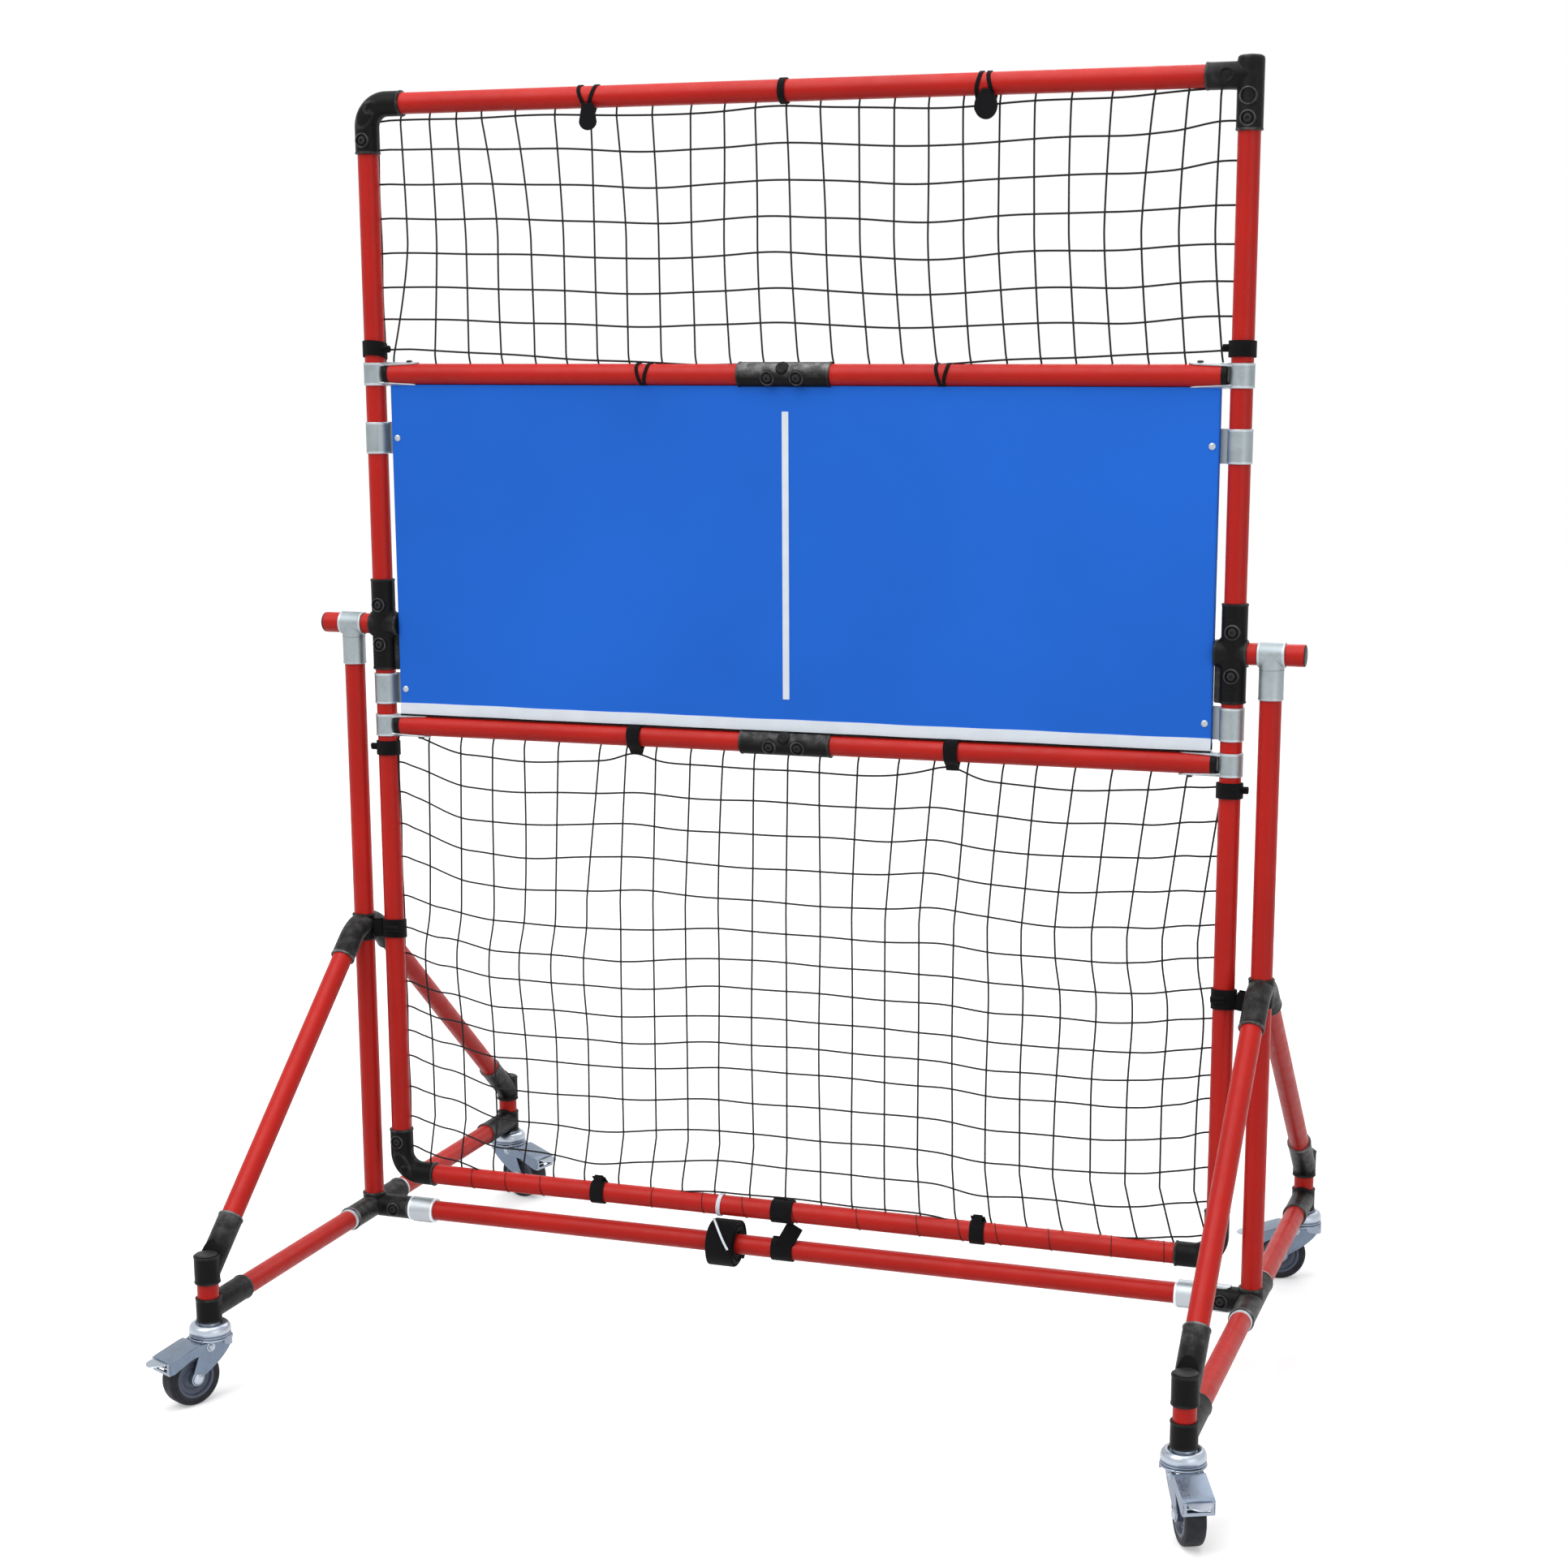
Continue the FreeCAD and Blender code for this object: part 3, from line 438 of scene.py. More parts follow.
def ribbon(form, path, normal, width, thick, closed=False):
    """A flat strap along a path: its thickness lies along the normal and its width across."""
    ahead = np.roll(path, -1, 0) - np.roll(path, 1, 0) if closed else np.gradient(path, axis=0)
    ahead = unit(ahead)
    normal = unit(normal - ahead * (normal * ahead).sum(1, keepdims=True))
    side = np.cross(ahead, normal)
    section = np.array([
        (-0.5, -0.3), (-0.47, -0.5), (0, -0.5), (0.47, -0.5), (0.5, -0.3),
        (0.5, 0.3), (0.47, 0.5), (0, 0.5), (-0.47, 0.5), (-0.5, 0.3),
    ])
    width = np.broadcast_to(width, len(path))[:, None, None]
    grid = path[:, None] + side[:, None] * section[:, :1] * width + normal[:, None] * section[:, 1:] * thick
    run = np.linalg.norm(np.diff(path, axis=0), axis=1)
    along = np.concatenate([[0], np.cumsum(run)])
    place = np.stack(np.broadcast_arrays(along[:, None], section[:, 0] * width[:, :, 0], 0.0), -1)
    form.surface(grid, closed, 0.0, place)


def cord(form, path, thick, up=FRONT, sides=8, closed=False):
    """A round cord along a path, its place giving the distance along and the way round."""
    ahead = unit(np.roll(path, -1, 0) - np.roll(path, 1, 0) if closed else np.gradient(path, axis=0))
    first = unit(up - ahead * (ahead @ up)[:, None])
    second = np.cross(ahead, first)
    radii = np.broadcast_to(np.asarray(thick) / 2, len(path))[:, None] * np.ones((1, sides))
    along = np.concatenate([[0], np.cumsum(np.linalg.norm(np.diff(path, axis=0), axis=1))])
    angle = turns(sides)
    place = np.stack(np.broadcast_arrays(along[:, None], np.cos(angle)[None], np.sin(angle)[None]), -1)
    form.surface(around(path, first, second, radii), closed, 0.0, place)


def plate(form, outline, push, bevel=0.35, wear=0.2):
    """A flat sheet: an outline pushed along a vector, with both rims eased in a little."""
    outline, push = np.array(outline, float), np.array(push, float)
    inset = unit(outline.mean(0) - outline) * bevel
    step = unit(push) * bevel
    rows = [outline + inset, outline + step, outline + push - step, outline + push + inset]
    form.surface(np.array(rows), wear=wear)


def corner_path(points, radius, steps=5):
    """A closed outline with every corner rounded."""
    ring = [points[-1]] + list(points) + [points[0]]
    return rounded(ring, radius, steps)[1:-1]


def rectangle(x0, x1, z0, z1, y):
    """The corners of an upright rectangle."""
    return np.array([(x0, y, z0), (x1, y, z0), (x1, y, z1), (x0, y, z1)], float)


def straight(start, end, step=3.0):
    """Points along a line, about one step apart."""
    count = max(2, int(np.linalg.norm(end - start) / step) + 1)
    return start + (end - start) * np.linspace(0, 1, count)[:, None]


# Finishes


class Recipe:
    """A material's node tree, built by name with values or links for each input."""

    def __init__(self, name):
        self.material = bpy.data.materials.new(name)
        self.material.use_nodes = True
        self.tree = self.material.node_tree
        self.tree.nodes.clear()
        self.shader = self.tree.nodes.new("ShaderNodeBsdfPrincipled")
        output = self.tree.nodes.new("ShaderNodeOutputMaterial")
        self.tree.links.new(self.shader.outputs[0], output.inputs[0])

    def put(self, kind, inputs, **settings):
        """Adds a shader node with its settings and inputs."""
        node = self.tree.nodes.new("ShaderNode" + kind)
        for key, value in settings.items():
            setattr(node, key, value)
        self.fill(node, inputs)
        return node

    def fill(self, node, inputs):
        """Links each input that is a socket and sets each one that is a value."""
        for key, value in inputs.items():
            if isinstance(value, bpy.types.NodeSocket):
                self.tree.links.new(value, node.inputs[key])
            else:
                node.inputs[key].default_value = value

    def spot(self):
        """The point on the object, in metres."""
        return self.put("TexCoord", {}).outputs["Object"]

    def attribute(self, name):
        """A value kept at each point of the mesh."""
        return self.put("Attribute", {}, attribute_name=name)

    def noise(self, scale, detail=3.0):
        """Soft noise over the object, from 0 to 1, with that many lumps to the metre."""
        inputs = {"Scale": scale, "Detail": detail, "Roughness": 0.55, "Vector": self.spot()}
        return self.put("TexNoise", inputs).outputs["Fac"]

    def blend(self, share, first, second):
        """A colour between two colours."""
        node = self.put("Mix", {}, data_type="RGBA")
        self.fill(node, {0: share, 6: first, 7: second})
        return node.outputs[2]

    def math(self, operation, first, second=0.0, clamp=False):
        """One step of arithmetic on two inputs."""
        return self.put("Math", {0: first, 1: second}, operation=operation, use_clamp=clamp).outputs[0]

    def remap(self, value, low, high, to_low=0.0, to_high=1.0):
        """The range from low to high laid out straight over another one, and held at its ends."""
        inputs = {"Value": value, "From Min": low, "From Max": high, "To Min": to_low, "To Max": to_high}
        return self.put("MapRange", inputs).outputs[0]

    def bump(self, height, distance, strength):
        """A normal that stands for fine relief of that depth in metres."""
        inputs = {"Height": height, "Distance": distance, "Strength": strength}
        return self.put("Bump", inputs).outputs["Normal"]

    def done(self, **inputs):
        """Fills the shader and gives the material."""
        self.fill(self.shader, {key.replace("_", " "): value for key, value in inputs.items()})
        return self.material


def darker(tint, share):
    """The colour with each channel times the share."""
    return tuple(c * share for c in tint[:3]) + (1.0,)


def finish(name):
    """The finish of that name, made the first time that it is asked for and apart from the frame's own."""
    full_name = "dressed_" + name
    return bpy.data.materials.get(full_name) or FINISHES[name](Recipe(full_name))


def finish_red_coat(r):
    """A satin plastic coat, a little cloudy, with fine pale grains and soft orange peel."""
    tint = shade("coat")
    cloud = r.remap(r.noise(7.0, 4.0), 0.35, 0.65)
    grain = r.noise(1100.0, 2.0)
    base = r.blend(cloud, darker(tint, 0.86), tint)
    base = r.blend(r.remap(grain, 0.62, 0.75, 0.0, 0.12), base, (0.85, 0.25, 0.22, 1.0))
    rough = r.remap(r.noise(60.0), 0.3, 0.7, 0.36, 0.50)
    normal = r.bump(r.math("ADD", r.noise(520.0, 2.0), grain), 0.00025, 0.35)
    return r.done(Base_Color=base, Roughness=rough, Normal=normal, Specular_IOR_Level=0.24)


def finish_black_joint(r):
    """Black paint rubbed grey in patches by the wear value: real scuffing on lips and painted highlights on
    ridges, raised bands and rims.
    """
    tint = shade("joint")
    wear = r.attribute("wear").outputs["Fac"]
    patch = r.remap(r.noise(90.0, 5.0), 0.42, 0.68)
    # The grey share holds painted highlights as well as real scuffing.
    worn = r.math("MULTIPLY", wear, r.math("ADD", r.math("MULTIPLY", patch, 0.7), 0.3), True)
    base = r.blend(r.math("MULTIPLY", patch, 0.3), tint, (0.009, 0.0095, 0.010, 1.0))
    base = r.blend(worn, base, (0.30, 0.30, 0.30, 1.0))
    rough = r.remap(r.noise(220.0), 0.3, 0.7, 0.34, 0.50)
    normal = r.bump(r.noise(700.0, 3.0), 0.0003, 0.3)
    return r.done(Base_Color=base, Roughness=rough, Normal=normal, Specular_IOR_Level=0.09)


def plated(r, tint, metallic, rough_low, rough_high, shine):
    """A zinc coat: clouds and small crystals in the tint, and a painted highlight toward near-white where the
    wear value is high, scaled by shine.
    """
    cloud = r.remap(r.noise(45.0, 4.0), 0.35, 0.65)
    spangle = r.put("TexVoronoi", {"Scale": 420.0, "Vector": r.spot()}).outputs["Color"]
    grain = r.put("SeparateColor", {"Color": spangle}).outputs[0]
    base = r.blend(cloud, darker(tint, 0.82), tint)
    base = r.blend(r.math("MULTIPLY", grain, 0.2), base, darker(tint, 1.5))
    wear = r.attribute("wear").outputs["Fac"]
    # Painted highlight: near-white in proportion to the wear value.
    base = r.blend(r.math("MULTIPLY", wear, shine), base, (0.84, 0.90, 0.96, 1.0))
    rough = r.remap(r.math("ADD", cloud, grain), 0.0, 2.0, rough_low, rough_high)
    normal = r.bump(r.noise(900.0, 3.0), 0.00015, 0.35)
    return r.done(Base_Color=base, Roughness=rough, Normal=normal, Metallic=metallic)


def finish_zinc_clamp(r):
    """Dull zinc."""
    return plated(r, shade("zinc"), 0.75, 0.38, 0.56, 0.5)


def finish_caster_zinc(r):
    """Bluer and brighter zinc."""
    return plated(r, shade("caster"), 0.85, 0.24, 0.42, 0.5)


def finish_screw_steel(r):
    """Blackened steel with a light mottle."""
    base = r.blend(r.noise(300.0), shade("steel"), darker(shade("steel"), 2.4))
    normal = r.bump(r.noise(900.0), 0.0002, 0.4)
    rough = r.remap(r.noise(150.0), 0.3, 0.7, 0.3, 0.5)
    return r.done(Base_Color=base, Roughness=rough, Normal=normal, Specular_IOR_Level=0.1)


def finish_cap_plastic(r):
    """Black moulded plastic with a fine grain."""
    base = r.blend(r.noise(120.0), shade("plastic"), darker(shade("plastic"), 2.2))
    normal = r.bump(r.noise(1500.0, 2.0), 0.0002, 0.5)
    rough = r.remap(r.noise(80.0), 0.3, 0.7, 0.42, 0.6)
    return r.done(Base_Color=base, Roughness=rough, Normal=normal, Specular_IOR_Level=0.3)


def finish_wheel_rubber(r):
    """Dark rubber with patches of pale dust."""
    dust = r.remap(r.noise(35.0, 5.0), 0.45, 0.75, 0.0, 0.35)
    base = r.blend(dust, shade("rubber"), (0.05, 0.05, 0.052, 1.0))
    normal = r.bump(r.noise(1300.0, 3.0), 0.0003, 0.5)
    rough = r.remap(r.noise(90.0), 0.3, 0.7, 0.5, 0.72)
    return r.done(Base_Color=base, Roughness=rough, Normal=normal, Specular_IOR_Level=0.3)


def finish_hub_grey(r):
    """Blue-grey moulded plastic, lighter in clouds."""
    base = r.blend(r.noise(70.0, 4.0), shade("hub"), darker(shade("hub"), 1.5))
    normal = r.bump(r.noise(1200.0), 0.00015, 0.4)
    rough = r.remap(r.noise(140.0), 0.3, 0.7, 0.35, 0.5)
    return r.done(Base_Color=base, Roughness=rough, Normal=normal)


def finish_strap_black(r):
    """A ribbed weave: one rib each 1.4 mm along, crossed by finer threads, with loose fuzz; the colour is
    painted darker in the weave's hollows and lighter on its ribs, with random fuzz tone on top.
    """
    place = r.put("SeparateXYZ", {0: r.attribute("place").outputs["Vector"]})
    rib = r.math("SINE", r.math("MULTIPLY", place.outputs[0], 2 * math.pi / 1.4))
    warp = r.math("SINE", r.math("MULTIPLY", place.outputs[1], 2 * math.pi / 0.9))
    weave = r.math("MULTIPLY", rib, warp)
    fuzz = r.noise(1400.0, 4.0)
    share = r.remap(r.math("ADD", weave, fuzz), -0.4, 1.5)
    # Painted shade in the weave's hollows and painted highlight on its ribs, plus random fuzz tone.
    base = r.blend(share, darker(shade("strap"), 0.6), (0.010, 0.010, 0.012, 1.0))
    normal = r.bump(r.math("ADD", weave, fuzz), 0.00035, 0.7)
    return r.done(Base_Color=base, Roughness=0.62, Normal=normal, Specular_IOR_Level=0.07, Sheen_Weight=0.02)


def finish_board_blue(r):
    """A blue sheet with very broad clouds and a fine pale grain."""
    tint = shade("board")
    cloud = r.remap(r.noise(2.2, 3.0), 0.3, 0.7)
    base = r.blend(cloud, darker(tint, 0.90), darker(tint, 1.06))
    grain = r.noise(1600.0, 2.0)
    base = r.blend(r.remap(grain, 0.6, 0.8, 0.0, 0.10), base, (0.06, 0.24, 0.80, 1.0))
    normal = r.bump(grain, 0.00015, 0.4)
    rough = r.remap(r.noise(40.0), 0.3, 0.7, 0.55, 0.68)
    return r.done(Base_Color=base, Roughness=rough, Normal=normal, Specular_IOR_Level=0.1)


def finish_stripe_white(r):
    """White tape with faint greyer clouds."""
    grey = darker(shade("stripe"), 0.94)
    base = r.blend(r.remap(r.noise(30.0, 4.0), 0.35, 0.65), grey, shade("stripe"))
    normal = r.bump(r.noise(1100.0, 2.0), 0.0002, 0.4)
    return r.done(Base_Color=base, Roughness=0.5, Normal=normal)


def finish_net_cord(r):
    """A laid cord: two strands that wind round it once each 5 mm, painted darker in the grooves between them
    and lighter on their ridges.
    """
    place = r.put("SeparateXYZ", {0: r.attribute("place").outputs["Vector"]})
    angle = r.math("ARCTAN2", place.outputs[2], place.outputs[1])
    along = r.math("MULTIPLY", place.outputs[0], 2 * math.pi / 2.5)
    twist = r.math("SINE", r.math("ADD", along, r.math("MULTIPLY", angle, 2.0)))
    share = r.remap(twist, -1.0, 1.0)
    # Painted shade and highlight follow the twist.
    base = r.blend(share, darker(shade("cord"), 0.5), darker(shade("cord"), 2.0))
    normal = r.bump(r.math("ADD", twist, r.noise(1800.0, 3.0)), 0.0003, 0.6)
    return r.done(Base_Color=base, Roughness=0.6, Normal=normal, Specular_IOR_Level=0.2)


def finish_floor(r):
    """A grey floor that the camera and bright metal see as white, with the shadow left on it.

    Its glow rises from the middle outward, as the lamps' own light falls off.
    """
    base = r.blend(r.noise(3.0), shade("floor"), darker(shade("floor"), 0.985))
    path = r.put("LightPath", {})
    seen = r.math("MAXIMUM", path.outputs["Is Camera Ray"], path.outputs["Is Glossy Ray"])
    seen = r.math("MAXIMUM", seen, path.outputs["Is Transmission Ray"])
    distance = r.put("VectorMath", {0: r.spot()}, operation="LENGTH").outputs["Value"]
    glow = r.math("MULTIPLY", seen, r.remap(distance, 1.0, 4.5, 0.34, 0.68))
    white = (1.0, 1.0, 1.0, 1.0)
    base = r.blend(seen, base, (0.9, 0.9, 0.9, 1.0))
    rough = r.remap(r.noise(90.0), 0.3, 0.7, 0.75, 0.85)
    return r.done(
        Base_Color=base, Roughness=rough, Specular_IOR_Level=0.0, Emission_Color=white, Emission_Strength=glow
    )


FINISHES = {
    "red_coat": finish_red_coat,
    "black_joint": finish_black_joint,
    "zinc_clamp": finish_zinc_clamp,
    "caster_zinc": finish_caster_zinc,
    "screw_steel": finish_screw_steel,
    "cap_plastic": finish_cap_plastic,
    "wheel_rubber": finish_wheel_rubber,
    "hub_grey": finish_hub_grey,
    "strap_black": finish_strap_black,
    "board_blue": finish_board_blue,
    "stripe_white": finish_stripe_white,
    "net_cord": finish_net_cord,
    "floor": finish_floor,
}


# Pipes and joints


def dress_pipes():
    """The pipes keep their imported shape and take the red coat."""
    names = [side + part for side in ("left_", "right_") for part in ("post", "rails", "uprights")]
    names += [end + side + "_brace" for end in ("front_", "rear_") for side in ("left", "right")]
    names += ["corner_posts", "cross_tube", "pivot_stubs"]
    names += ["top_tube", "upper_rail_tubes", "lower_rail_tubes", "bottom_tube"]
    for name in names:
        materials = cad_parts[name].data.materials
        materials.clear()
        materials.append(finish("red_coat"))


def elbow(form, corner, first, first_arm, second, second_arm):
    """An elbow: a tube along one arm, round a quarter circle and along the other arm, bored through.

    On the bend the axis is corner + (first + second) bend - second bend cos a - first bend sin a.
    """
    bend, sides = ELBOW_BEND, 64
    straight_first, turn_length = first_arm - bend, bend * math.pi / 2
    reach = straight_first + turn_length + second_arm - bend
    edge = mouth(plan.joint_r, plan.seat_r, 0.9)
    inner_rows = np.arange(6, reach - 6, 1.5)
    rim_s, rim_r = np.array(edge).T
    s = np.concatenate([rim_s, inner_rows, reach - rim_s[::-1]])
    radius = np.concatenate([rim_r, np.full(len(inner_rows), plan.joint_r), rim_r[::-1]])
    angle = np.clip((s - straight_first) / bend, 0, math.pi / 2)[:, None]
    centres = corner + (first + second) * bend - second * bend * np.cos(angle) - first * bend * np.sin(angle)
    centres = centres + first * np.clip(straight_first - s, 0, None)[:, None]
    centres = centres + second * np.clip(s - straight_first - turn_length, 0, None)[:, None]
    ahead = -first * np.cos(angle) + second * np.sin(angle)
    front = np.broadcast_to(FRONT, ahead.shape)
    side = np.cross(ahead, front)
    theta = turns(sides)[None]
    raised = teardrop(s[:, None] / reach, theta)
    radii = np.repeat(radius[:, None], sides, 1) + seamed(s[:, None], radius[:, None], theta) + raised
    bright = np.where((s < 3) | (s > reach - 3), 0.25, 0.0)[:, None] * np.ones((1, sides))
    # Painted highlight along the raised teardrop, on top of the scuffed lips.
    bright = bright + 0.22 * bulge(raised, 1.1, 0.35)
    outside = around(centres, front, side, radii)
    bore = around(centres[::-1], front[::-1], side[::-1], np.full((len(s), sides), plan.seat_r))
    form.surface(np.concatenate([outside, bore]), True, np.concatenate([bright, np.zeros_like(bright)]))


def teardrop(share, theta):
    """A raised curved drop on an elbow's front with a hollow at its wide end."""
    turned = np.angle(np.exp(1j * theta))
    drop = np.exp(-(((share - 0.50) / 0.17) ** 2) - (turned / 0.62) ** 2)
    hollow = np.exp(-(((share - 0.60) / 0.055) ** 2) - ((turned - 0.05) / 0.30) ** 2)
    return 1.8 * ease(drop * 1.8) - 4.2 * hollow


def build_frame_joints():
    """Elbows, tee, splices and pivot crosses on the net frame, with their bolts."""
    joint, screws = Form(), Form()
    elbow_screw, tee_ring, tee_screw, dimple_place = 47.5, 25.0, 51.0, 27.0
    splice_screw, pivot_screw, rib_place, rib_half = 20.0, 27.5, 43.0, 7.0
    corners = ((-1, plan.top_z, -1), (-1, plan.bottom_z, 1), (1, plan.bottom_z, 1))
    for s, z, up in corners:
        corner = plan.at(s * plan.upright_x, 0, z)
        elbow(joint, corner, Z * up, ELBOW_UP_ARM, X * -s, ELBOW_SIDE_ARM)
        bolt(joint, screws, corner + Z * (up * elbow_screw))
    piece("corner_elbows", joint, "net_frame", "black_joint", "top_left_elbow", "bottom_elbows")
    joint = Form()
    corner = plan.at(plan.upright_x, 0, plan.top_z)
    r = plan.joint_r
    edge = mouth(r, plan.seat_r, 0.5)
    crown = [(83.0, r), (85.6, r - 0.5), (87.2, r - 1.8), (88.1, r - 4.0), (88.6, r - 8.0), (88.8, r - 12.0)]
    wears = [0.35 if a < 3 else 0.03 for a, _radius in edge] + [0.03, 0.1, 0.3, 0.3, 0.2, 0.1]
    start = corner - Z * ELBOW_UP_ARM
    lathe(joint, start, Z, edge[1:] + crown, 64, wear=np.array(wears)[1:, None], relief=seamed)
    arm(joint, corner, -X, Z, ELBOW_SIDE_ARM, bright=0.35, fillet=1.5)
    bolt(joint, None, corner - Z * tee_ring, ring=11.5)
    bolt(joint, screws, corner - Z * tee_screw)
    dimple = [(8.0, 9.0), (r + 0.3, 9.0), (r + 0.9, 8.0), (r + 0.8, 7.0), (r - 0.4, 6.0)]
    lathe(joint, corner - X * dimple_place, FRONT, dimple, 32, front=Z, wear=0.06)
    piece("top_right_tee", joint, "net_frame", "black_joint", "top_right_joint")
    joint = Form()
    tilt, knob_tilt = math.radians(-15), math.radians(36)
    front = np.array([0, -math.cos(tilt), math.sin(tilt)])
    knob = np.array([0, -math.cos(knob_tilt), math.sin(knob_tilt)])
    # The upper splice carries a stronger painted highlight band than the lower one.
    for z, crest in ((plan.upper_z, 0.95), (plan.lower_z, 0.35)):
        centre = plan.at(0, 0, z)
        collar(joint, centre - X * SPLICE_HALF, centre + X * SPLICE_HALF, front=front, lip=0.7, crest=crest)
        for s in (-1, 1):
            bolt(joint, screws, centre + X * (s * splice_screw), front, X)
        dome = [(8.0, 9.5), (r - 1.5, 9.5), (r + 0.6, 8.6), (r + 1.7, 6.5), (r + 2.2, 3.6), (r + 2.3, 1.2)]
        lathe(joint, centre, knob, dome, 40, front=X, wear=np.array([0.0, 0.0, 0.0, 0.1, 0.0, 0.0])[:, None])
    piece("splice_sleeves", joint, "net_frame", "black_joint", "rail_splices")
    joint = Form()
    disc = [(24.1, 3.0), (24.1, 14.3), (24.5, 14.3), (24.7, 13.6), (24.7, 0.4)]
    for s in (-1, 1):
        centre = plan.at(s * plan.upright_x, 0, plan.pivot_z)
        collar(joint, centre - Z * PIVOT_HALF, centre + Z * PIVOT_HALF, lip=0.7)
        arm(joint, centre, -X * s, Z, PIVOT_INNER_ARM, fillet=6.0, bright=0.2)
        lathe(joint, centre, -X * s, disc, 48)
        arm(joint, centre, X * s, Z, r + 1.5, fillet=3.0, bright=0.2)
        for k in (-1, 1):
            bolt(joint, screws, centre + Z * (k * pivot_screw))
        for k in (-1, 1):
            rib_at = centre + Z * (k * rib_place)
            rib = straight(rib_at - X * rib_half, rib_at + X * rib_half, 1.0)
            rib[:, 1] = plan.y - np.sqrt(r**2 - (rib[:, 0] - centre[0]) ** 2)
            cord(joint, rib, 1.8, up=Z)
        x_in, x_out = centre[0] - s * (r + 7), centre[0] - s * 4
        flange_y = plan.y - 2.5
        outline = [
            (x_in, flange_y, plan.pivot_z - PIVOT_HALF), (x_out, flange_y, plan.pivot_z - PIVOT_HALF),
            (x_out, flange_y, plan.pivot_z), (x_in, flange_y, plan.pivot_z - 6),
        ]
        plate(joint, corner_path(np.array(outline), 3.0), Y * 5)
    piece("pivot_crosses", joint, "net_frame", "black_joint", "pivot_joints")
    return screws


def tapered_ear(form, start, away, up, reach, radius, root, tip):
    """A clamp's ear: a strip bent round the outside of a pipe, ending in a round tip.

    Its half width goes evenly from root to tip, both in degrees round the pipe.
    """
    side = np.cross(away, up)
    rows = []
    for share in np.linspace(0, 1, 22):
        end = math.sqrt(max(1 - max((share - 0.86) / 0.15, 0) ** 2, 0))
        angle = np.radians((root + (tip - root) * share) * end) * np.linspace(-1, 1, 13)
        out = np.cos(angle)[:, None] * up + np.sin(angle)[:, None] * side
        centre = start + away * reach * share
        rows.append(np.vstack([centre + out * radius, (centre + out * (radius + CLAMP_SHEET))[::-1]]))
    # Painted highlight: the ears are drawn as brightly lit zinc.
    form.surface(np.array(rows), wear=0.8)


def build_clamps(screws):
    """Zinc collars and ears at the rails' ends, saddles that carry the board, and their small bolts."""
    zinc, plugs = Form(), Form()
    clamp_half, ear_start, ear_length, ear_bolt = 15.5, 6, 60.0, 52
    r = plan.pipe_r
    for z in (plan.upper_z, plan.lower_z):
        for s in (-1, 1):
            centre = plan.at(s * plan.upright_x, 0, z)
            start, end = centre - Z * clamp_half, centre + Z * clamp_half
            collar(zinc, start, end, plan.clamp_r, lip=0.4, wear=0.15, seam=False)
            for up in (Z, -Z):
                tapered_ear(zinc, centre - X * (s * ear_start), X * -s, up, ear_length, r + 0.6, 46.0, 26.0)
                spot = centre - X * (s * ear_bolt) + up * (r + 2.0)
                head = [(-1.0, 4.2), (1.2, 4.2), (2.2, 3.4), (2.6, 1.8)]
                lathe(screws, spot, up, head, 24, front=X)
            stop = centre - X * (s * (plan.clamp_r + 1))
            ring = [(0.0, 11.0), (0.0, r), (0.5, r + 0.5), (7.4, r + 0.5), (8.0, r - 1)]
            lathe(plugs, stop, X * -s, ring, 48)
    piece("rail_clamps", zinc, "net_frame", "zinc_clamp", "rail_end_clamps")
    piece("rail_end_rings", plugs, "net_frame", "black_joint")
    zinc = Form()
    low, high = span("board_brackets")
    face = span("rebound_board")[1][1]
    half_width = span("rebound_board")[1][0]
    bolt_x = half_width - (BRACKET_REACH - (plan.upright_x - half_width)) / 2
    for z in (low[2] + BRACKET_HALF, high[2] - BRACKET_HALF):
        for s in (-1, 1):
            centre = plan.at(s * plan.upright_x, 0, z)
            start, end = centre - Z * BRACKET_HALF, centre + Z * BRACKET_HALF
            collar(zinc, start, end, plan.clamp_r, lip=0.3, wear=0.15, seam=False)
            x0, x1 = centre[0] - s * 8, centre[0] - s * BRACKET_REACH
            outline = rectangle(x0, x1, z - BRACKET_HALF, z + BRACKET_HALF, face)
            plate(zinc, corner_path(outline, 4.0), Y * CLAMP_SHEET, bevel=0.5, wear=0.3)
            front = np.array([s * bolt_x, 2 * plan.y - face, z])
            dome = [(-2.0, 4.4), (0.6, 4.4), (1.4, 3.6), (1.8, 2.2), (1.9, 0.9)]
            # Painted highlight on the bolt's dome.
            lathe(zinc, front, FRONT, dome, 32, front=Z, wear=0.6)
            nut = [(0.0, 5.6), (0.6, 6.0), (3.0, 6.0), (3.6, 5.4), (3.6, 3.0), (5.0, 2.8), (5.4, 2.2)]
            lathe(screws, np.array([s * bolt_x, face + CLAMP_SHEET, z]), Y, nut, 6, front=Z)
    piece("board_saddles", zinc, "net_frame", "zinc_clamp", "board_brackets")
    piece("frame_bolts", screws, "net_frame", "screw_steel", "frame_screws")


